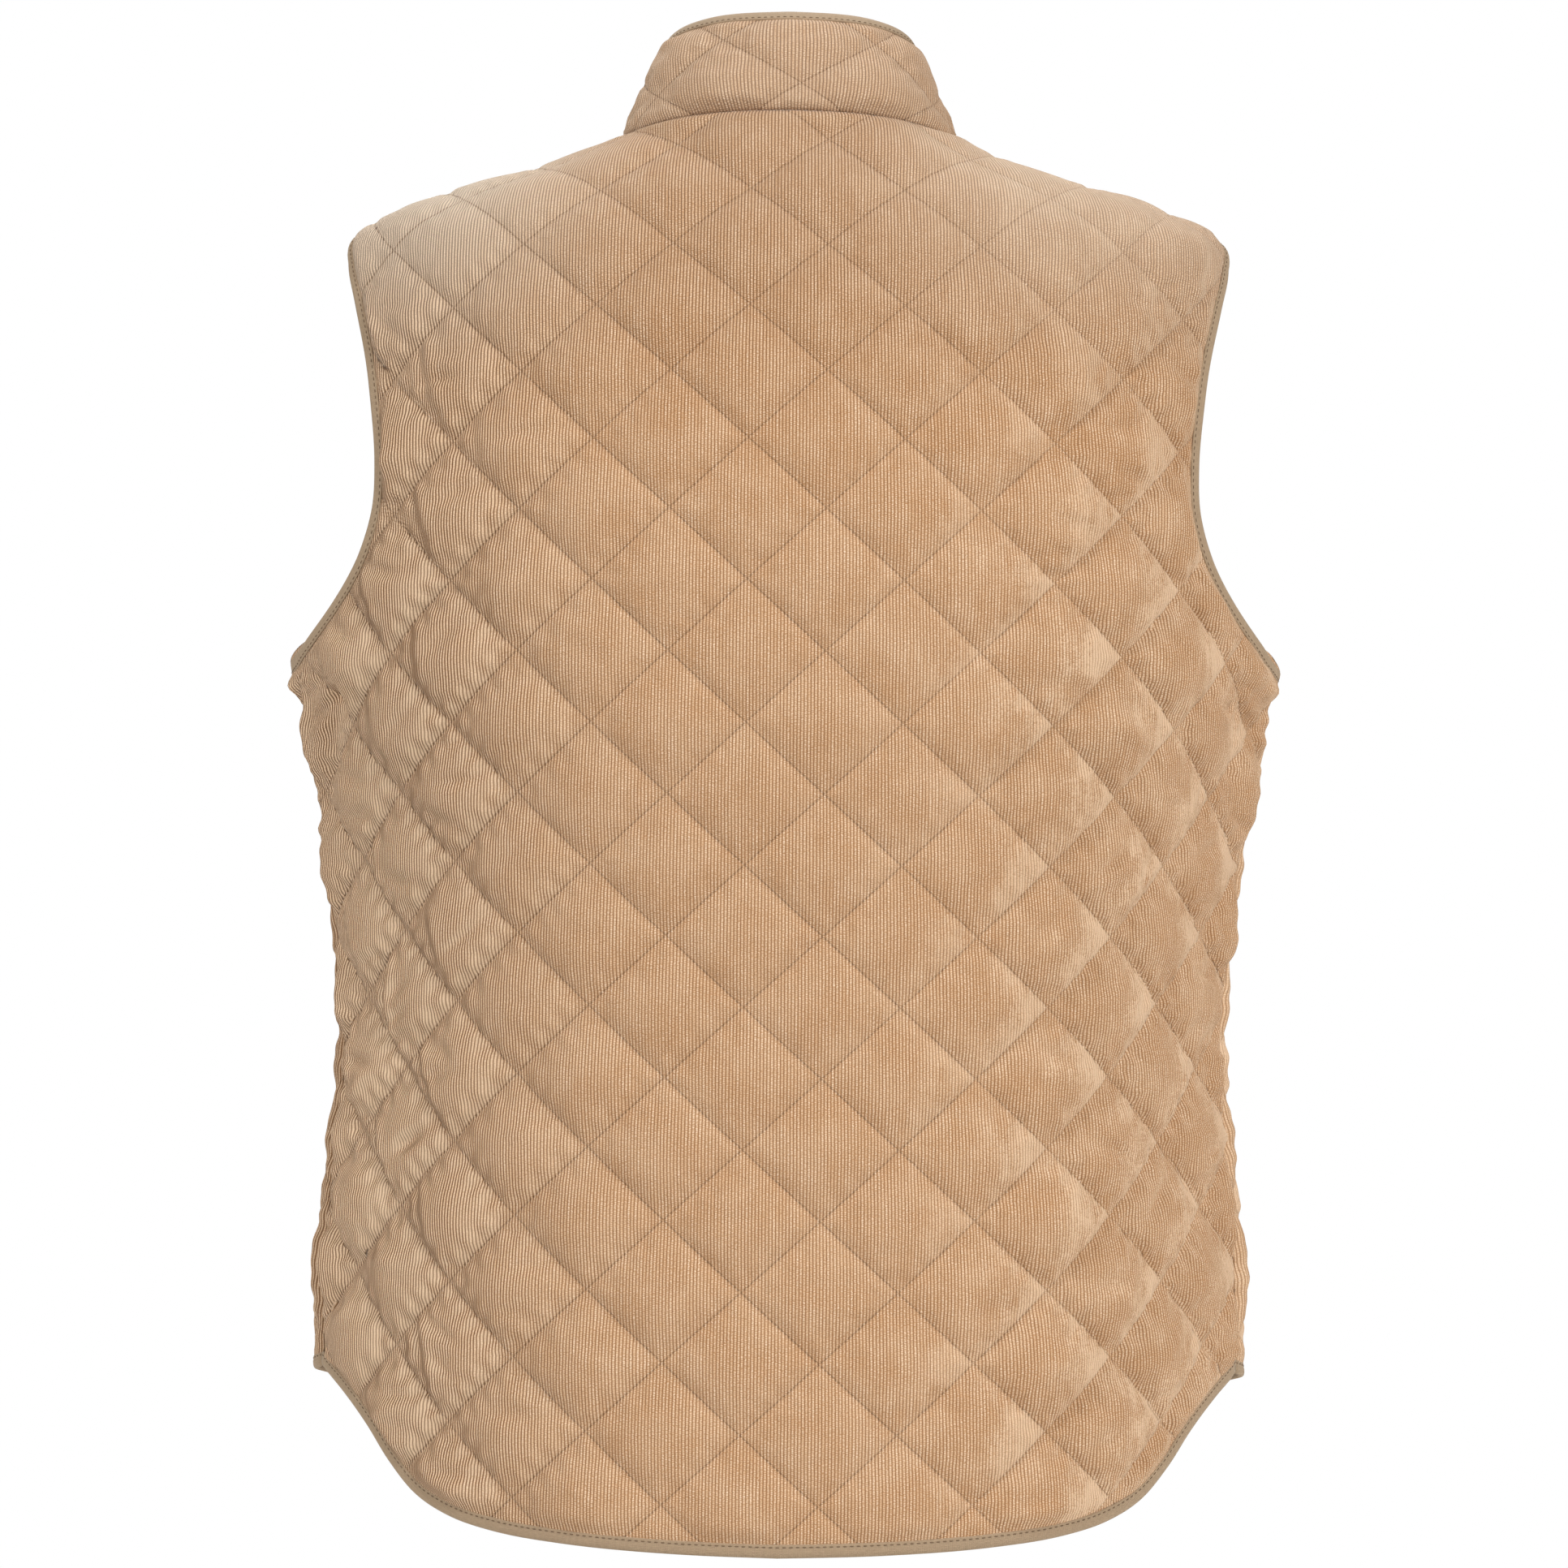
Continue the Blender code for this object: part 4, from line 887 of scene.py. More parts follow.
def new_piece(name, points, faces, materials, kinds=None, chart=None, tone_and_painted_light=None):
    """Blender object from arrays of points and faces, smooth, with a material number per face."""
    mesh = bpy.data.meshes.new(name)
    mesh.from_pydata(points.reshape(-1, 3).tolist(), [], [face.tolist() for face in faces])
    for material in materials:
        mesh.materials.append(material)
    if kinds is not None:
        mesh.polygons.foreach_set("material_index", np.asarray(kinds, np.int32))
    if chart is not None:
        corner = np.empty(len(mesh.loops), np.int32)
        mesh.loops.foreach_get("vertex_index", corner)
        layer = mesh.uv_layers.new(name="cloth")
        layer.data.foreach_set("uv", chart.reshape(-1, 2)[corner].astype(np.float32).ravel())
    if tone_and_painted_light is not None:
        mesh.attributes.new("tone_and_painted_light", "FLOAT", "POINT").data.foreach_set("value", tone_and_painted_light.astype(np.float32))
    mesh.shade_smooth()
    piece = bpy.data.objects.new(name, mesh)
    bpy.context.scene.collection.objects.link(piece)
    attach(piece, "root")
    return piece


def slope_across(flat, height):
    """Slope of a height over a grid of flat points, in the direction across, by the chain rule."""
    height_v, height_u = np.gradient(height)
    across_v, across_u = np.gradient(flat[..., 0])
    along_v, along_u = np.gradient(flat[..., 1])
    return (height_u * along_v - height_v * along_u) / (across_u * along_v - across_v * along_u)


def shell(name, panel, materials):
    """Quilted outside, plain inside, and a rim of fans that joins four outer steps to one inner."""
    outer_flat = panel.grid
    inner_flat = panel.grid[::INSIDE_STEP, ::INSIDE_STEP]
    height = panel.outside(outer_flat)
    outer = panel.cloth.place(outer_flat, height)
    inner = panel.cloth.place(inner_flat, np.zeros(inner_flat.shape[:-1]))
    count = outer.shape[0] * outer.shape[1]
    face = grid_quads(*outer.shape[:2])
    lining = grid_quads(*inner.shape[:2])[:, ::-1] + count
    loop = border(*outer.shape[:2])
    inner_loop = border(*inner.shape[:2]) + count
    step = np.arange(len(loop))
    near = inner_loop[np.mod((step + INSIDE_STEP // 2) // INSIDE_STEP, len(inner_loop))]
    fans = np.stack([loop, near, np.roll(loop, -1)], axis=1)
    turn = step[step % INSIDE_STEP == INSIDE_STEP // 2 - 1]
    after = np.roll(near, -1)
    links = np.stack([near[turn], after[turn], np.roll(loop, -1)[turn]], axis=1)
    row, column = outer.shape[0] // 2, outer.shape[1] // 2
    over = outer[row, column + 1] - outer[row, column]
    up = outer[row + 1, column] - outer[row, column]
    out = outer[row, column] - panel.cloth.place(outer_flat[row:row + 1, column], np.zeros(1))[0]
    faces = [face, lining, fans, links]
    if np.dot(np.cross(over, up), out) < 0.0:
        faces = [group[:, ::-1] for group in faces]
    kinds = np.concatenate([np.zeros(len(face)), np.ones(len(lining)), np.zeros(len(fans) + len(links))])
    chart = np.vstack([outer_flat.reshape(-1, 2), inner_flat.reshape(-1, 2)]) - panel.crossing
    chart = chart * (panel.hand, 1.0)
    points = np.vstack([outer.reshape(-1, 3), inner.reshape(-1, 3)])
    every = [one for group in faces for one in group]
    slope = panel.hand * slope_across(outer_flat, height)
    tone_and_painted_light = np.concatenate([slope.ravel(), np.zeros(inner.shape[0] * inner.shape[1])])
    piece = new_piece(name, points, every, materials, kinds, chart, tone_and_painted_light)
    print(name, "triangles:", 2 * (len(face) + len(lining)) + len(fans) + len(links))
    return piece

# %% [markdown]
# Materials are wired from small nodes. The helper below adds one node a call and gives back its
# output, so a formula reads from left to right. A node group holds an effect that several
# materials share: the quilting lines, which are straight in the flat coordinates, and the slow
# unevenness of dyed cloth.

# %% Wiring helper and shared effects
class Wiring:
    """Adds nodes to one tree, each call giving back the new output."""

    def __init__(self, tree):
        self.tree = tree

    def feed(self, socket, value):
        """Link an output to a socket, or set the socket to a plain value."""
        if isinstance(value, bpy.types.NodeSocket):
            self.tree.links.new(value, socket)
        else:
            socket.default_value = value

    def reckon(self, operation, *values):
        """One step of arithmetic."""
        node = self.tree.nodes.new("ShaderNodeMath")
        node.operation = operation
        for socket, value in zip(node.inputs, values):
            self.feed(socket, value)
        return node.outputs[0]

    def times(self, first, second):
        """Product of two numbers."""
        return self.reckon("MULTIPLY", first, second)

    def scaled(self, value, factor, plus):
        """Value times factor plus a third number."""
        return self.reckon("MULTIPLY_ADD", value, factor, plus)

    def step(self, value, low, high, start=0.0, end=1.0):
        """Soft change from start to end while the value goes from low to high."""
        node = self.tree.nodes.new("ShaderNodeMapRange")
        node.interpolation_type = "SMOOTHSTEP"
        for socket, given in zip(node.inputs, (value, low, high, start, end)):
            self.feed(socket, given)
        return node.outputs[0]

    def blend(self, share, first, second):
        """Colour between two colours."""
        node = self.tree.nodes.new("ShaderNodeMix")
        node.data_type = "RGBA"
        for number, given in ((0, share), (6, first), (7, second)):
            self.feed(node.inputs[number], given)
        return node.outputs[2]

    def join(self, x, y):
        """Vector of two numbers."""
        node = self.tree.nodes.new("ShaderNodeCombineXYZ")
        self.feed(node.inputs[0], x)
        self.feed(node.inputs[1], y)
        return node.outputs[0]

    def noise(self, place, scale, detail=2.0):
        """Cloudy share between nought and one."""
        node = self.tree.nodes.new("ShaderNodeTexNoise")
        self.feed(node.inputs["Vector"], place)
        self.feed(node.inputs["Scale"], scale)
        self.feed(node.inputs["Detail"], detail)
        return node.outputs[0]

    def chart(self):
        """Flat coordinates of the piece in millimetres, across and along."""
        chart = self.tree.nodes.new("ShaderNodeUVMap")
        chart.uv_map = "cloth"
        parts = self.tree.nodes.new("ShaderNodeSeparateXYZ")
        self.feed(parts.inputs[0], chart.outputs[0])
        return tuple(self.times(parts.outputs[k], 1.0 / MM) for k in (0, 1))

    def attribute(self, name):
        """Number kept at the points of the mesh."""
        node = self.tree.nodes.new("ShaderNodeAttribute")
        node.attribute_name = name
        return node.outputs["Fac"]

    def group(self, name, size):
        """A shared effect with its own size in millimetres."""
        node = self.tree.nodes.new("ShaderNodeGroup")
        node.node_tree = bpy.data.node_groups[name]
        self.feed(node.inputs["Size"], size)
        return node.outputs


def new_group(name, *outputs):
    """Empty node group with a size as its input and plain numbers as its outputs."""
    tree = bpy.data.node_groups.new(name, "ShaderNodeTree")
    tree.interface.new_socket("Size", in_out="INPUT", socket_type="NodeSocketFloat")
    for output in outputs:
        tree.interface.new_socket(output, in_out="OUTPUT", socket_type="NodeSocketFloat")
    size = tree.nodes.new("NodeGroupInput").outputs["Size"]
    return Wiring(tree), size, tree.nodes.new("NodeGroupOutput").inputs


def quilting_group():
    """Mask of a groove of the given size along the lines, and the place across a diamond."""
    wiring, size, outputs = new_group("quilting lines", "Groove", "Across")
    across, along = wiring.chart()
    u = wiring.reckon("DIVIDE", across, DIAMOND[0] / MM)
    v = wiring.reckon("DIVIDE", along, DIAMOND[1] / MM)
    p = wiring.reckon("ADD", u, v)
    q = wiring.reckon("SUBTRACT", u, v)
    grooves = []
    for here in (p, q):
        away = wiring.reckon("PINGPONG", here, 0.5)
        away = wiring.times(away, LINE_SPACING / MM)
        grooves.append(wiring.step(away, 0.0, size, 1.0, 0.0))
    wiring.feed(outputs["Groove"], wiring.reckon("MAXIMUM", *grooves))
    halves = wiring.reckon("ADD", wiring.reckon("FRACT", p), wiring.reckon("FRACT", q))
    wiring.feed(outputs["Across"], wiring.times(halves, 0.5))


def mottle_group():
    """Share that drifts over patches of the given size, and finer specks a twelfth as large."""
    wiring, size, outputs = new_group("dye mottle", "Drift", "Speck")
    place = wiring.join(*wiring.chart())
    wiring.feed(outputs["Drift"], wiring.noise(place, wiring.reckon("DIVIDE", 1.0, size), 4.0))
    wiring.feed(outputs["Speck"], wiring.noise(place, wiring.reckon("DIVIDE", 12.0, size), 4.0))


quilting_group()
mottle_group()
print("node groups:", [tree.name for tree in bpy.data.node_groups])

# %% [markdown]
# Corduroy is cut pile: ribs, called wales, run up the cloth sixteen to the inch, each a row of
# small tufts. The height of a rib is the sine of the place across it, and every second rib has
# its tufts half a step higher. Valleys between the ribs show the darker ground, and painted
# highlights run along the crests. Shade is painted on slopes to one side and light on slopes to the
# other, by the slope that each point keeps, most on the crumpled left flank. Random brushed patches
# vary the pile. Painted sheen lies in pale patches on the right flank and over the shoulders;
# painted shade darkens the top, the collar, the quilting lines and the left flank's valleys, and
# painted light makes the left flank's pile paler. A weak sheen on the shader finishes it. The
# collar is cut from the same cloth and has its own values. There are two threads, one for the
# quilting and one for edges. Sizes in the materials are in millimetres.

# %% Cloth materials
WALE = 1.5875
TUFT = 1.02
GROOVE = 0.8
VALLEY = 5.0
MOTTLE = 24.0
LEFT_FADE = (40.0, 190.0)
RIGHT_FADE = (-190.0, -40.0)
WAVER_FADE = (60.0, 190.0)
WAVER = 2.2
WAVER_LEAST = 0.4
# Reaches of painted light and shade: the pile's darkening towards the top, the slope shade and light of the
# left flank, the right flank's sheen, the top's shade and the shoulders' sheen.
PILE_SHADE_FADE = (40.0, 230.0)
PAINTED_LIGHT_TOP_FADE = (40.0, 170.0)
PAINTED_LIGHT_SIDE_FADE = (195.0, 255.0)
PAINTED_LIGHT_LEAST = 0.35
PAINTED_SHEEN_TOP_FADE = (60.0, 180.0)
SHADE_FADE = 130.0
SHOULDER_SHEEN_FADE = 160.0
SHOULDER_SHEEN_SIDE_FADE = (30.0, 160.0)
BACKING_DENT = 2.6
BACKING_MOTTLE = 30.0
BACKING_WEAVE = 0.9
TAPE_MOTTLE = 20.0
TAPE_RIB = 0.7
TAPE_YARN = 0.8
SPECULAR = 0.15
SHEEN_ROUGHNESS = 0.5
SHEEN_TINT = (1.0, 0.9, 0.78, 1.0)
PILE_DARK = (0.475, 0.258, 0.120, 1.0)
PILE_PALE = (0.63, 0.412, 0.250, 1.0)
# Colours of painted light and shade, all but GROUND: the left flank's paler pile and darker ground, shade
# towards the top, the crest highlight, the shade and light of slopes, the pale sheen of the right flank and
# of the shoulders, and the shade in the quilting grooves and valleys.
PILE_LEFT_LIGHT = (0.80, 0.565, 0.37, 1.0)
GROUND = (0.30, 0.150, 0.066, 1.0)
GROUND_LEFT_SHADE = (0.17, 0.078, 0.030, 1.0)
GROUND_SHADED = (0.10, 0.045, 0.018, 1.0)
CREST_HIGHLIGHT = (0.86, 0.69, 0.53, 1.0)
SHADE = (0.06, 0.028, 0.012, 1.0)
SLOPE_SHADE = (0.22, 0.115, 0.052, 1.0)
SLOPE_LIGHT = (0.78, 0.58, 0.40, 1.0)
PAINTED_SHEEN = (0.74, 0.53, 0.36, 1.0)
SHOULDER_SHEEN = (0.68, 0.60, 0.50, 1.0)
GROOVE_SHADE = (0.13, 0.062, 0.028, 1.0)
VALLEY_SHADE = (0.17, 0.085, 0.038, 1.0)
BACKING_DARK = (0.40, 0.27, 0.17, 1.0)
BACKING_PALE = (0.52, 0.37, 0.25, 1.0)
# Painted shade in the backing's quilted dents.
BACKING_DENT_SHADE = (0.16, 0.09, 0.05, 1.0)
TAPE_DARK = (0.28, 0.2, 0.128, 1.0)
TAPE_PALE = (0.4, 0.295, 0.195, 1.0)


def new_material(name, colour, roughness, sheen=0.0):
    """Material with one shader, its constant values set on the shader itself."""
    made = bpy.data.materials.new(name)
    made.use_nodes = True
    made.diffuse_color = colour
    shader = made.node_tree.nodes["Principled BSDF"]
    shader.inputs["Base Color"].default_value = colour
    shader.inputs["Roughness"].default_value = roughness
    shader.inputs["Specular IOR Level"].default_value = SPECULAR
    shader.inputs["Sheen Weight"].default_value = sheen
    shader.inputs["Sheen Roughness"].default_value = SHEEN_ROUGHNESS
    shader.inputs["Sheen Tint"].default_value = SHEEN_TINT
    return made, Wiring(made.node_tree), shader


def raise_by(wiring, shader, height):
    """Bump whose height is in millimetres."""
    bump = wiring.tree.nodes.new("ShaderNodeBump")
    bump.inputs["Distance"].default_value = MM
    wiring.feed(bump.inputs["Height"], height)
    wiring.feed(shader.inputs["Normal"], bump.outputs["Normal"])


Place = namedtuple("Place", "across along left right")
Wales = namedtuple("Wales", "number rib crest fibre keep")


def place_on_cloth(wiring):
    """Flat coordinates in millimetres, and how far a point lies on the left or the right flank."""
    across, along = wiring.chart()
    left = wiring.step(across, *LEFT_FADE)
    right = wiring.step(across, *RIGHT_FADE, 1.0, 0.0)
    return Place(across, along, left, right)


def new_wales(wiring, at, speck):
    """Ribs that waver on the flanks, each an arch times its tufts, which are smoother on the left."""
    flank = wiring.step(wiring.reckon("ABSOLUTE", at.across), *WAVER_FADE)
    wobble = wiring.noise(wiring.join(at.across, at.along), 0.04, 1.0)
    pushed = wiring.scaled(wobble, wiring.scaled(flank, WAVER, WAVER_LEAST), at.across)
    wale = wiring.reckon("DIVIDE", pushed, WALE)
    number = wiring.reckon("FLOOR", wale)
    share = wiring.reckon("SUBTRACT", wale, number)
    arch = wiring.reckon("SINE", wiring.times(share, math.pi))
    rib = wiring.reckon("POWER", arch, wiring.scaled(at.left, 0.3, 0.7))
    uneven = wiring.scaled(speck, 2.4, wiring.reckon("DIVIDE", at.along, TUFT))
    turns = wiring.scaled(number, 0.5, uneven)
    wave = wiring.reckon("SINE", wiring.times(turns, 2.0 * math.pi))
    fibre = wiring.noise(wiring.join(wiring.times(at.across, 1.6), at.along), 1.0, 2.0)
    tuft = wiring.scaled(wave, 0.19, wiring.scaled(fibre, 0.9, 0.4))
    smooth_tuft = wiring.scaled(tuft, 0.6, 0.37)
    even = wiring.times(at.left, wiring.reckon("SUBTRACT", smooth_tuft, tuft))
    crest = wiring.times(rib, wiring.reckon("ADD", tuft, even))
    return Wales(number, rib, crest, fibre, wiring.scaled(rib, 0.7, 0.3))


def pile_colour(wiring, at, wales, brushed, streak, pile_tone_low, shaded):
    """Pile over ground: the ground shows in the valleys, painted highlights run in streaks along the
    crests, and painted light and shade vary with the place.
    """
    strength = wiring.scaled(at.right, 0.15, 0.4)
    # Random brushed patches vary the pile's tone; besides, the pile is painted darker towards the top, as
    # painted shade, and all over the collar.
    tone_and_painted_light = wiring.scaled(brushed, strength, wiring.step(at.along, *PILE_SHADE_FADE, pile_tone_low, 0.08))
    pile = wiring.blend(tone_and_painted_light, PILE_DARK, PILE_PALE)
    # Painted light: the pile of the left flank is paler, where the lamps light it less.
    pile = wiring.blend(wiring.times(at.left, 0.55), pile, PILE_LEFT_LIGHT)
    # Painted shade: the ground of the left flank is darker and its dark valleys wider.
    ground = wiring.blend(at.left, GROUND, GROUND_LEFT_SHADE)
    # Painted shade: the ground darkens towards the top of the body and all over the collar.
    ground = wiring.blend(wiring.times(shaded, 0.6), ground, GROUND_SHADED)
    deep = wiring.scaled(at.left, 0.2, 0.1)
    colour = wiring.blend(wiring.step(wales.crest, deep, 0.78), ground, pile)
    # Painted highlight: pale streaks on the crests.
    lit = wiring.times(wiring.step(wales.crest, 0.6, 1.05), wiring.step(streak, 0.3, 0.75, 0.35, 0.85))
    colour = wiring.blend(lit, colour, CREST_HIGHLIGHT)
    # Painted shade over the whole colour, towards the top and on the collar.
    return wiring.blend(wiring.times(shaded, 0.06), colour, SHADE)


def slope_shaded_colour(wiring, at, wales, colour):
    """Painted shade where the slope faces one way and painted light where it faces the other, most on the
    left flank.
    """
    # The slope across, kept at each point, sets painted shade on slopes that face one way and painted light
    # on those that face the other.
    lean = wiring.attribute("tone_and_painted_light")
    painted_light_share = wiring.times(at.left, wiring.step(at.along, *PAINTED_LIGHT_TOP_FADE, 1.0, PAINTED_LIGHT_LEAST))
    beside = wiring.step(at.across, *PAINTED_LIGHT_SIDE_FADE, 1.0, PAINTED_LIGHT_LEAST)
    painted_light_share = wiring.times(painted_light_share, beside)
    darker = wiring.scaled(painted_light_share, 0.78, wiring.scaled(at.right, 0.05, 0.08))
    away = wiring.times(wiring.step(lean, -0.6, 0.05, 1.0, 0.0), darker)
    colour = wiring.blend(away, colour, SLOPE_SHADE)
    paler = wiring.scaled(painted_light_share, 0.86, wiring.scaled(at.right, 0.2, 0.08))
    towards = wiring.times(wiring.times(wiring.step(lean, 0.0, 0.5), paler), wales.keep)
    return wiring.blend(towards, colour, SLOPE_LIGHT), painted_light_share


def corduroy_material(name, pile_tone_low, shade_start, sheen_start, sheen_share, sheen_middle):
    """Wales with tufts, darker in their valleys, with painted shade along the quilting and painted sheen in
    pale patches.
    """
    made, wiring, shader = new_material(name, (0.54, 0.345, 0.2, 1.0), 0.95, 0.15)
    at = place_on_cloth(wiring)
    lines = wiring.group("quilting lines", GROOVE)
    mottle = wiring.group("dye mottle", MOTTLE)
    wales = new_wales(wiring, at, mottle["Speck"])
    streak = wiring.noise(wiring.join(wales.number, wiring.times(at.along, 0.045)), 1.0, 2.0)
    brushed = wiring.step(mottle["Drift"], 0.36, 0.66, -0.5, 0.5)
    # Share of painted shade: from nothing low on the body to full near the top, and full on the collar.
    shaded = wiring.step(at.along, shade_start, shade_start + SHADE_FADE)
    colour = pile_colour(wiring, at, wales, brushed, streak, pile_tone_low, shaded)
    colour, painted_light_share = slope_shaded_colour(wiring, at, wales, colour)

    # Painted sheen: pale ragged patches at one corner of each diamond on the right flank, fading towards
    # the top.
    sheen_score = wiring.reckon("SUBTRACT", 1.0, lines["Across"])
    for part, share in ((brushed, 0.3), (mottle["Speck"], 0.7), (streak, 0.8), (wales.fibre, 0.6)):
        sheen_score = wiring.scaled(part, share, sheen_score)
    pale = wiring.times(wiring.step(sheen_score, 1.58, 1.98, 0.0, 0.9), at.right)
    pale = wiring.times(pale, wiring.step(at.along, *PAINTED_SHEEN_TOP_FADE, 1.0, 0.2))
    colour = wiring.blend(wiring.times(pale, wales.keep), colour, PAINTED_SHEEN)

    # Painted sheen: a pale cover over the shoulders, more on the left, and over the whole collar.
    sheen_cover = wiring.step(at.along, sheen_start, sheen_start + SHOULDER_SHEEN_FADE)
    outer = wiring.step(wiring.reckon("ABSOLUTE", at.across), *SHOULDER_SHEEN_SIDE_FADE, sheen_middle, sheen_share)
    sheen_cover = wiring.times(wiring.times(sheen_cover, outer), wiring.scaled(at.left, 0.9, 1.0))
    colour = wiring.blend(sheen_cover, colour, SHOULDER_SHEEN)

    # Painted shade along the quilting lines, darkest in the valleys between wales and weaker on the right
    # flank.
    sunk = wiring.times(lines["Groove"], wiring.scaled(wales.rib, -0.8, 0.95))
    sunk = wiring.times(sunk, wiring.scaled(at.right, -0.6, 1.0))
    colour = wiring.blend(sunk, colour, GROOVE_SHADE)
    valley = wiring.group("quilting lines", VALLEY)["Groove"]
    # Painted shade in a wider band along the quilting lines of the left flank.
    valley_shade = wiring.times(valley, wiring.times(painted_light_share, 0.13))
    wiring.feed(shader.inputs["Base Color"], wiring.blend(valley_shade, colour, VALLEY_SHADE))
    height = wiring.times(wales.crest, wiring.scaled(at.left, 0.2, 0.4))
    dip = wiring.scaled(valley, -0.45, height)
    raise_by(wiring, shader, wiring.scaled(lines["Groove"], -0.3, dip))
    return made


def backing_material():
    """Plain woven back of the cloth on the inside, dented where it is quilted, with painted shade in the
    dents.
    """
    made, wiring, shader = new_material("backing", (0.46, 0.32, 0.21, 1.0), 0.9, 0.1)
    across, along = wiring.chart()
    lines = wiring.group("quilting lines", BACKING_DENT)
    mottle = wiring.group("dye mottle", BACKING_MOTTLE)
    warp = wiring.reckon("SINE", wiring.times(across, 2.0 * math.pi / BACKING_WEAVE))
    weft = wiring.reckon("SINE", wiring.times(along, 2.0 * math.pi / BACKING_WEAVE))
    weave = wiring.times(warp, weft)
    colour = wiring.blend(mottle["Drift"], BACKING_DARK, BACKING_PALE)
    # Painted shade in the quilted dents.
    colour = wiring.blend(wiring.times(lines["Groove"], 0.5), colour, BACKING_DENT_SHADE)
    wiring.feed(shader.inputs["Base Color"], colour)
    height = wiring.times(weave, 0.06)
    raise_by(wiring, shader, wiring.scaled(lines["Groove"], -0.8, height))
    return made


def tape_material():
    """Taupe tape with a fine rib across it and specks of its yarn."""
    made, wiring, shader = new_material("tape", (0.45, 0.325, 0.215, 1.0), 0.8, 0.25)
    length, around = wiring.chart()
    mottle = wiring.group("dye mottle", TAPE_MOTTLE)
    rib = wiring.reckon("SINE", wiring.times(length, 2.0 * math.pi / TAPE_RIB))
    yarn = wiring.reckon("SINE", wiring.times(around, 2.0 * math.pi / TAPE_YARN))
    colour = wiring.blend(mottle["Speck"], TAPE_DARK, TAPE_PALE)
    wiring.feed(shader.inputs["Base Color"], colour)
    raise_by(wiring, shader, wiring.times(wiring.reckon("ADD", rib, yarn), 0.04))
    return made


# The body's corduroy, then the collar's: its pile is painted darker, its painted shade is full and its
# painted sheen covers it all over.
CORDUROY = corduroy_material("corduroy", 0.45, 110.0, 150.0, 0.36, 0.06)
COLLAR_CORDUROY = corduroy_material("corduroy_collar", 0.05, -300.0, -300.0, 0.12, 0.15)
BACKING = backing_material()
TAPE = tape_material()
QUILT_THREAD = new_material("quilting_thread", (0.36, 0.225, 0.13, 1.0), 0.6)[0]
EDGE_THREAD = new_material("edge_thread", (0.16, 0.105, 0.065, 1.0), 0.6)[0]
print("materials:", [made.name for made in bpy.data.materials])

# %% [markdown]
# With the materials ready, the four quilted panels are made and take the place of the plain
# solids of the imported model.

# %% Quilted panels
back = shell("back_cloth", back_panel, (CORDUROY, BACKING))
front_left = shell("front_left_cloth", left_panel, (CORDUROY, BACKING))
front_right = shell("front_right_cloth", right_panel, (CORDUROY, BACKING))
collar = shell("collar_cloth", collar_panel, (COLLAR_CORDUROY, BACKING))
panels = {"back": back, "front_left": front_left, "front_right": front_right, "collar": collar}
for node, piece in panels.items():
    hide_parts(node)

# %% [markdown]
# The raw edges are bound with a folded tape. Its section is a rounded U that wraps both faces of
# the cloth, swept along the edge in steps of three millimetres. Each step knows the direction
# into the panel; near a seam that direction leans until it lies along the seam, so that the tapes
# of two panels meet there, and the tape is pressed flatter.

# %% Bound edges
TapeRow = namedtuple("TapeRow", "inward out")
TAPE_SECTION = table_of(
    TapeRow, (5.5, 1.85), (5.45, 2.4), (5.0, 2.75), (4.1, 2.55), (2.6, 2.9), (0.8, 2.85), (-0.4, 2.5),
    (-1.05, 1.85), (-1.3, 0.9), (-1.05, -0.05), (-0.4, -0.7), (0.8, -1.0), (3.0, -1.0), (5.0, -0.95),
    (5.45, -0.6), (5.5, -0.05), (3.0, -0.05), (-0.1, -0.05), (-0.1, 1.85), (3.0, 1.85)
)
TAPE_TABLE = np.array(TAPE_SECTION) * MM
TAPE_TOP_ROW = 4
TAPE_STEP = 3.0 * MM
TAPE_TRIM = 1.5 * MM
SEAM_LEAN = 8.0 * MM
SEAM_PRESS = 0.45
Strip = namedtuple("Strip", "path inward press cloth mirror")


def new_strip(cloth, path, seams=(None, None), trim=(0.0, 0.0), mirror=False):
    """Even points on an edge with the direction into the panel, leaning to the seams at its ends."""
    run = lengths(path)
    at = np.linspace(trim[0], run[-1] - trim[1], math.ceil(run[-1] / TAPE_STEP) + 1)
    path = np.column_stack([np.interp(at, run, column) for column in path.T])
    ahead = np.gradient(path, axis=0)
    ahead /= np.linalg.norm(ahead, axis=1)[:, None]
    inward = np.column_stack([-ahead[:, 1], ahead[:, 0]])
    square = inward.copy()
    press = np.ones(len(path))
    for seam, end, away in ((seams[0], 0, at - at[0]), (seams[1], -1, at[-1] - at)):
        if seam is not None:
            lean = seam / (seam @ square[end]) - square[end]
            inward = inward + lean * np.exp(-away / SEAM_LEAN)[:, None]
            press = press - SEAM_PRESS * np.exp(-away / SEAM_LEAN)
    return Strip(path, inward, press, cloth, mirror)


def on_strip(strip, inward, out):
    """Points of a strip at a depth into the panel and a height out of the cloth."""
    flat = strip.path[:, None] + strip.inward[:, None] * np.reshape(inward, (1, -1, 1))
    flat = mirrored(flat) if strip.mirror else flat
    return strip.cloth.place(flat, strip.press[:, None] * np.broadcast_to(out, flat.shape[:2]))


def volume(points, faces):
    """Signed volume of a mesh of quads: sixths of the triple products of their halves."""
    a, b, c, d = (points[faces[:, k]] for k in range(4))
    return float((np.cross(a, b) * c + np.cross(a, c) * d).sum()) / 6.0


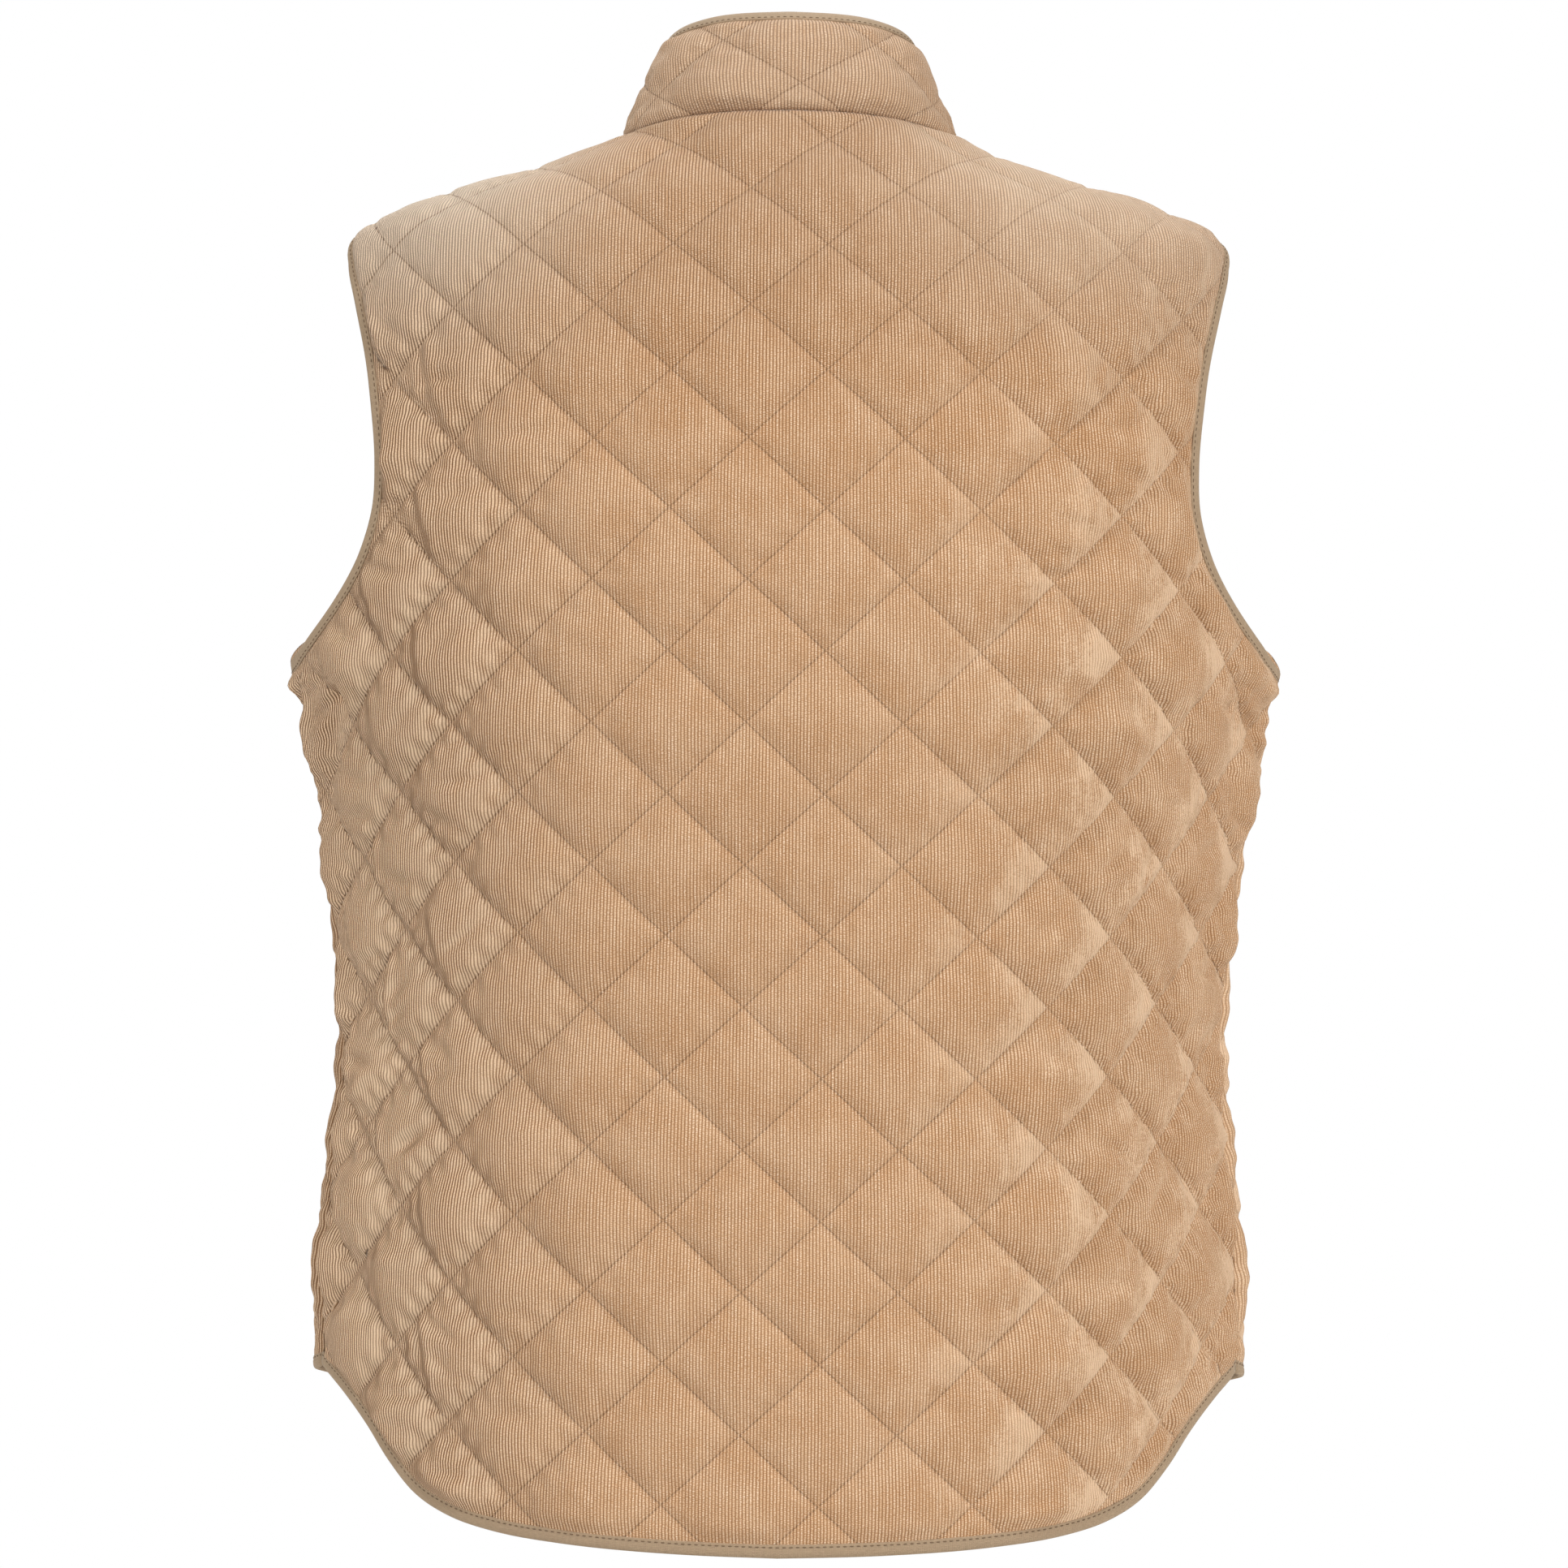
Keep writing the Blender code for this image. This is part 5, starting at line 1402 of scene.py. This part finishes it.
def new_tape(name, strips):
    """Tape along one strip, or a ring of two strips that meet at both ends."""
    runs = [on_strip(strip, TAPE_TABLE[:, 0], TAPE_TABLE[:, 1]) for strip in strips]
    ring = len(runs) == 2
    if ring:
        first, second = runs[0], runs[1][::-1]
        start = (first[:1] + second[-1:]) / 2
        turn = (first[-1:] + second[:1]) / 2
        sections = np.concatenate([start, first[1:-1], turn, second[1:-1]])
    else:
        sections = runs[0]
    count, around = sections.shape[:2]
    number = np.arange(count * around).reshape(count, around)
    beside = np.roll(number, -1, axis=1)
    ahead = np.roll(number, -1, axis=0)
    faces = np.stack([number, beside, np.roll(ahead, -1, axis=1), ahead], axis=-1)
    faces = (faces if ring else faces[:-1]).reshape(-1, 4)
    points = sections.reshape(-1, 3)
    turned = volume(points, faces) < 0.0
    faces = list(faces[:, ::-1] if turned else faces)
    if not ring:
        caps = (number[0, ::-1], number[-1])
        faces += [cap[::-1] if turned else cap for cap in caps]
    length = lengths(sections[:, TAPE_TOP_ROW])
    girth = lengths(sections[count // 2])
    chart = np.stack(np.meshgrid(length, girth, indexing="ij"), axis=-1)
    piece = new_piece(name, points, faces, (TAPE,), chart=chart)
    print(name, "length:", round(float(length[-1]), 3), "m")
    return piece


def armhole_strips(cloth, side_mirror):
    """Two halves of an armhole, each from the underarm up to the shoulder tip."""
    halves = []
    for edges, half_cloth, mirror in ((BACK, back_cloth, side_mirror), (FRONT, cloth, False)):
        side = edges["side"][-2] - edges["side"][-1]
        shoulder = edges["shoulder"][1] - edges["shoulder"][0]
        halves.append(new_strip(half_cloth, edges["armhole"], (side, shoulder), mirror=mirror))
    return halves


side_up = BACK["side"][1] - BACK["side"][0]
hem_strip = new_strip(back_cloth, back_hem, (mirrored(side_up), side_up))
front_side_up = FRONT["side"][1] - FRONT["side"][0]
front_path = np.vstack([FRONT["opening"][::-1], FRONT["hem"][1:]])
edge_strips = [new_strip(cloth, front_path, (None, front_side_up), (TAPE_TRIM, 0.0))
               for cloth in (left_cloth, right_cloth)]
collar_path = np.vstack([collar_end, COLLAR["rim"][::-1][1:], mirrored(collar_end)[::-1][1:]])
collar_strip = new_strip(collar_cloth, collar_path, trim=(TAPE_TRIM, TAPE_TRIM))
left_armhole = armhole_strips(left_cloth, False)
right_armhole = armhole_strips(right_cloth, True)

tapes = {"binding_hem_back": [hem_strip], "binding_edge_left": edge_strips[:1],
         "binding_edge_right": edge_strips[1:], "binding_armhole_left": left_armhole,
         "binding_armhole_right": right_armhole, "binding_collar": [collar_strip]}
for node, strips in tapes.items():
    new_tape(node.replace("binding", "tape"), strips)
    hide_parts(node)

# %% [markdown]
# A stitch is a small spindle of thread, a few faces each, lying along its line and sunk into the
# cloth at both ends. All stitches of a panel are one piece: the spindle is copied to every place
# by one multiplication of arrays. The edges have their own thread, darker and thicker.

# %% Stitches
SpindleRow = namedtuple("SpindleRow", "ahead beside up")
SPINDLE_ROWS = table_of(
    SpindleRow,
    (-0.5, 0.0, -0.35),
    (-0.22, 0.5, 0.0), (-0.22, 0.0, 0.5), (-0.22, -0.5, 0.0), (-0.22, 0.0, -0.5),
    (0.22, 0.5, 0.0), (0.22, 0.0, 0.5), (0.22, -0.5, 0.0), (0.22, 0.0, -0.5),
    (0.5, 0.0, -0.35),
)
SPINDLE = np.array(SPINDLE_ROWS)
SPINDLE_FACES = (
    (0, 2, 1), (0, 3, 2), (0, 4, 3), (0, 1, 4),
    (1, 2, 6, 5), (2, 3, 7, 6), (3, 4, 8, 7), (4, 1, 5, 8),
    (9, 5, 6), (9, 6, 7), (9, 7, 8), (9, 8, 5),
)
QUILT_STITCH = 4.2 * MM
QUILT_THREAD_SIZE = (3.4 * MM, 0.4 * MM)
QUILT_THREAD_SINK = 0.2 * MM
EDGE_STITCH = 3.2 * MM
EDGE_STITCH_PLACE = (4.1 * MM, 2.6 * MM)
EDGE_THREAD_SIZE = (2.5 * MM, 0.7 * MM)
EDGE_MARGIN = 6.5 * MM


def new_stitches(name, middles, ahead, up, length, width, thread):
    """Spindles at many places: middle plus along, beside and up times the spindle's own shares."""
    ahead = ahead / np.linalg.norm(ahead, axis=1)[:, None]
    beside = crossed(up, ahead)
    up = crossed(ahead, beside)
    x, y, z = SPINDLE.T * np.array([[length], [width], [width]])
    points = (middles[:, None] + ahead[:, None] * x[None, :, None] + beside[:, None] * y[None, :, None]
              + up[:, None] * z[None, :, None])
    base = len(SPINDLE) * np.arange(len(middles))
    faces = [face for shape in SPINDLE_FACES for face in base[:, None] + np.array(shape)]
    piece = new_piece(name, points, faces, (thread,))
    print(name, "stitches:", len(middles))
    return piece


def within(points, loop, margin):
    """Inside a loop and beyond a margin from it: a ray to the right meets it an odd number of times."""
    ends = np.roll(loop, -1, axis=0)
    rise = np.where(ends[:, 1] == loop[:, 1], 1.0, ends[:, 1] - loop[:, 1])
    straddles = (loop[:, 1] > points[:, 1:]) != (ends[:, 1] > points[:, 1:])
    meets = loop[:, 0] + (points[:, 1:] - loop[:, 1]) / rise * (ends[:, 0] - loop[:, 0])
    odd = (straddles & (points[:, :1] < meets)).sum(axis=1) % 2 == 1
    return odd & (distance_to(points, loop) > margin)


def quilting(name, panel):
    """Stitches between the needle holes of all quilting lines of a panel."""
    p, q = to_diamonds(panel.grid - panel.crossing)
    found = []
    for family, here, there in ((0, p, q), (1, q, p)):
        lines = np.arange(np.ceil(here.min()), np.floor(here.max()) + 1.0)
        share = QUILT_STITCH / LINE_STEP
        places = (np.arange(math.floor(there.min() / share), math.ceil(there.max() / share)) + 0.5) * share
        line, place = (part.ravel() for part in np.meshgrid(lines, places))
        line_p, line_q = (line, place) if family == 0 else (place, line)
        flat = np.column_stack([line_p + line_q, line_p - line_q]) * DIAMOND / 2 + panel.crossing
        flat = flat[within(flat, panel.loop, EDGE_MARGIN)]
        slope = DIAMOND / np.hypot(*DIAMOND) * (1.0, -1.0 if family == 0 else 1.0)
        found.append((flat, np.repeat(slope[None], len(flat), 0)))
    flat = np.vstack([part[0] for part in found])
    slope = np.vstack([part[1] for part in found])
    height = panel.outside(flat)
    middles = panel.cloth.place(flat, height - QUILT_THREAD_SINK)
    ahead = panel.cloth.place(flat + slope * MM, height) - panel.cloth.place(flat - slope * MM, height)
    up = panel.cloth.place(flat, height + MM) - panel.cloth.place(flat, height)
    return new_stitches(name, middles, ahead, up, *QUILT_THREAD_SIZE, QUILT_THREAD)


def edge_stitches(name, strips):
    """A row of stitches near the inner side of each strip of tape."""
    rows = []
    for strip in strips:
        inward, out = EDGE_STITCH_PLACE
        low = on_strip(strip, [inward], out)[:, 0]
        high = on_strip(strip, [inward], out + MM)[:, 0]
        count = int(lengths(low)[-1] / EDGE_STITCH)
        place = (np.arange(count) + 0.5) / count * lengths(low)[-1]
        here, after, above = (np.column_stack([np.interp(at, lengths(low), column) for column in line.T])
                              for line, at in ((low, place), (low, place + PROBE), (high, place)))
        rows.append((here, after - here, above - here))
    middles, ahead, up = (np.vstack([row[k] for row in rows]) for k in range(3))
    return new_stitches(name, middles, ahead, up, *EDGE_THREAD_SIZE, EDGE_THREAD)


quilt_back = quilting("quilting_back", back_panel)
quilt_left = quilting("quilting_front_left", left_panel)
quilt_right = quilting("quilting_front_right", right_panel)
quilt_collar = quilting("quilting_collar", collar_panel)
for node, strips in tapes.items():
    edge_stitches(node.replace("binding", "stitching"), strips)

# %% [markdown]
# The press studs close the front, which the camera does not see, so they are plain caps: a turned
# profile with a rolled rim and a low dome, in aged brass.

# %% Press studs
STUD_RADIUS = 7.5 * MM
STUD_RISE = 2.6 * MM
STUD_GAP = 0.1 * MM
STUD_HEIGHTS = (-98, -190, -282, -374, -466, -558)
STUD_COLLAR_RISE = 0.55
STUD_SIDES = 36
BRASS_DULL = (0.24, 0.17, 0.11, 1.0)
BRASS_BRIGHT = (0.48, 0.37, 0.24, 1.0)
BRASS_WEAR = 220.0
CapRow = namedtuple("CapRow", "radius_share rise_share")
CAP = table_of(
    CapRow, (0.88, 0.0), (0.97, 0.08), (1.0, 0.25), (0.98, 0.42), (0.92, 0.5), (0.86, 0.48),
    (0.82, 0.55), (0.62, 0.8), (0.34, 0.95), (0.12, 1.0)
)


def brass_material():
    """Aged brass, duller in patches."""
    made, wiring, shader = new_material("aged_brass", (0.36, 0.27, 0.17, 1.0), 0.38)
    shader.inputs["Metallic"].default_value = 0.9
    where = wiring.tree.nodes.new("ShaderNodeTexCoord").outputs["Object"]
    wear = wiring.noise(where, BRASS_WEAR, 4.0)
    colour = wiring.blend(wear, BRASS_DULL, BRASS_BRIGHT)
    wiring.feed(shader.inputs["Base Color"], colour)
    wiring.feed(shader.inputs["Roughness"], wiring.step(wear, 0.3, 0.7, 0.28, 0.5))
    return made


def new_stud(name, cloth, flat, finish):
    """Rings of the cap's profile turned about the cloth's normal, with a disc at the top and the foot."""
    foot = cloth.place(flat[None], np.array([WALL + STUD_GAP]))[0]
    tip = cloth.place(flat[None], np.array([WALL + STUD_GAP + STUD_RISE]))[0]
    up = (tip - foot) / np.linalg.norm(tip - foot)
    over = crossed(up, np.array((0.0, 0.0, 1.0)))
    side = np.cross(up, over)
    turn = np.linspace(0.0, 2.0 * math.pi, STUD_SIDES, endpoint=False)
    radius, rise = np.array(CAP).T
    spokes = np.cos(turn)[:, None] * over + np.sin(turn)[:, None] * side
    rings = foot + STUD_RADIUS * radius[:, None, None] * spokes + STUD_RISE * rise[:, None, None] * up
    number = np.arange(len(CAP) * STUD_SIDES).reshape(len(CAP), STUD_SIDES)
    after = np.roll(number, -1, axis=1)
    walls = np.stack([number[:-1], after[:-1], after[1:], number[1:]], axis=-1).reshape(-1, 4)
    faces = list(walls) + [number[0, ::-1], number[-1]]
    piece = new_piece(name, rings, faces, (finish,))
    return piece


BRASS = brass_material()
stud_places = {"stud_%d" % (k + 1): (left_cloth, left_cloth.flat(np.zeros(1), np.array([height * MM]))[0])
               for k, height in enumerate(STUD_HEIGHTS)}
collar_stud = np.array((collar_cloth.half_length * (1.0 - COLLAR_TAPER * STUD_COLLAR_RISE),
                        COLLAR_HEIGHT * STUD_COLLAR_RISE))
stud_places["stud_collar"] = (collar_cloth, collar_stud)
for node, (cloth, flat) in stud_places.items():
    new_stud(node + "_cap", cloth, flat, BRASS)
    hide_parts(node)

# %% [markdown]

# %% Pieces made
print("pieces made: panels, tapes, stitches and studs")

# %% [markdown]
# The photograph is a catalogue picture with white surroundings. One broad lamp stands high on the
# right, a second one beside it lower down, a third on the left, and a weak one behind the
# shoulders lights their rim. A fifth, in front, serves the hidden side. The camera stands level
# with the middle of the back, far away with a long lens, and is turned half a degree about its axis.

# %% Floor, light and camera
FLOOR_HEIGHT = -1.4
FLOOR_REACH = 1.8
MIDDLE = Vector((0.0, 0.0, -0.32))
CAMERA_PLACE = (0.0, 2.6, -0.3244)
CAMERA_ROLL = math.radians(0.5)
LENS = 119.6
SENSOR = 36.0
WARM = (1.0, 0.98, 0.95)
WHITE = (1.0, 1.0, 1.0, 1.0)
GLOW_TINT = (1.0, 0.97, 0.93, 1.0)
GLOW_FADE = (-0.8, 0.9)
GLOW_STRENGTH = (0.12, 0.41)
Lamp = namedtuple("Lamp", "name place size power colour")
LAMPS = table_of(
    Lamp,
    ("key", (-1.8, 3.9, 2.5), 1.1, 103.0, WARM),
    ("side", (-3.8, 2.2, 0.9), 1.6, 102.0, WARM),
    ("rim", (0.0, -1.7, 2.2), 1.0, 32.0, (1.0, 1.0, 1.0)),
    ("fill", (3.6, 2.8, 2.5), 1.0, 170.0, (1.0, 0.99, 0.97)),
    ("front", (1.0, -4.4, 1.6), 1.4, 75.0, WARM),
)


def new_lamp(name, place, size, power, colour):
    """Square lamp facing the middle of the gilet."""
    lamp = bpy.data.lights.new(name, "AREA")
    lamp.shape = "SQUARE"
    lamp.size = size
    lamp.energy = power
    lamp.color = colour
    stand = bpy.data.objects.new(name, lamp)
    stand.location = place
    stand.rotation_euler = (MIDDLE - Vector(place)).to_track_quat("-Z", "Y").to_euler()
    bpy.context.scene.collection.objects.link(stand)


def white_surroundings():
    """White where the camera looks past the gilet; its light on the cloth comes mostly from above."""
    world = bpy.data.worlds.new("white")
    world.use_nodes = True
    wiring = Wiring(world.node_tree)
    backdrop = world.node_tree.nodes["Background"]
    seen = world.node_tree.nodes.new("ShaderNodeLightPath").outputs["Is Camera Ray"]
    parts = world.node_tree.nodes.new("ShaderNodeSeparateXYZ")
    wiring.feed(parts.inputs[0], world.node_tree.nodes.new("ShaderNodeTexCoord").outputs["Generated"])
    glow = wiring.step(parts.outputs["Z"], *GLOW_FADE, *GLOW_STRENGTH)
    tint = wiring.blend(seen, GLOW_TINT, WHITE)
    wiring.feed(backdrop.inputs["Color"], tint)
    wiring.feed(backdrop.inputs["Strength"], wiring.reckon("MAXIMUM", seen, glow))
    bpy.context.scene.world = world


floor_mesh = bpy.data.meshes.new("floor")
floor_corners = [(x * FLOOR_REACH, y * FLOOR_REACH, FLOOR_HEIGHT)
                 for x, y in ((-1, -1), (1, -1), (1, 1), (-1, 1))]
floor_mesh.from_pydata(floor_corners, [], [(0, 1, 2, 3)])
floor_mesh.materials.append(new_material("floor", (0.86, 0.85, 0.83, 1.0), 0.8)[0])
floor = bpy.data.objects.new("floor", floor_mesh)
bpy.context.scene.collection.objects.link(floor)

white_surroundings()
for lamp in LAMPS:
    new_lamp(*lamp)

lens = bpy.data.cameras.new("camera")
lens.sensor_width = SENSOR
lens.lens = LENS
camera = bpy.data.objects.new("camera", lens)
facing = Matrix.Rotation(math.pi, 4, "Z") @ Matrix.Rotation(math.pi / 2, 4, "X")
facing = facing @ Matrix.Rotation(CAMERA_ROLL, 4, "Z")
camera.matrix_world = Matrix.Translation(CAMERA_PLACE) @ facing
bpy.context.scene.collection.objects.link(camera)
bpy.context.scene.camera = camera
bpy.context.scene.view_settings.view_transform = "Standard"
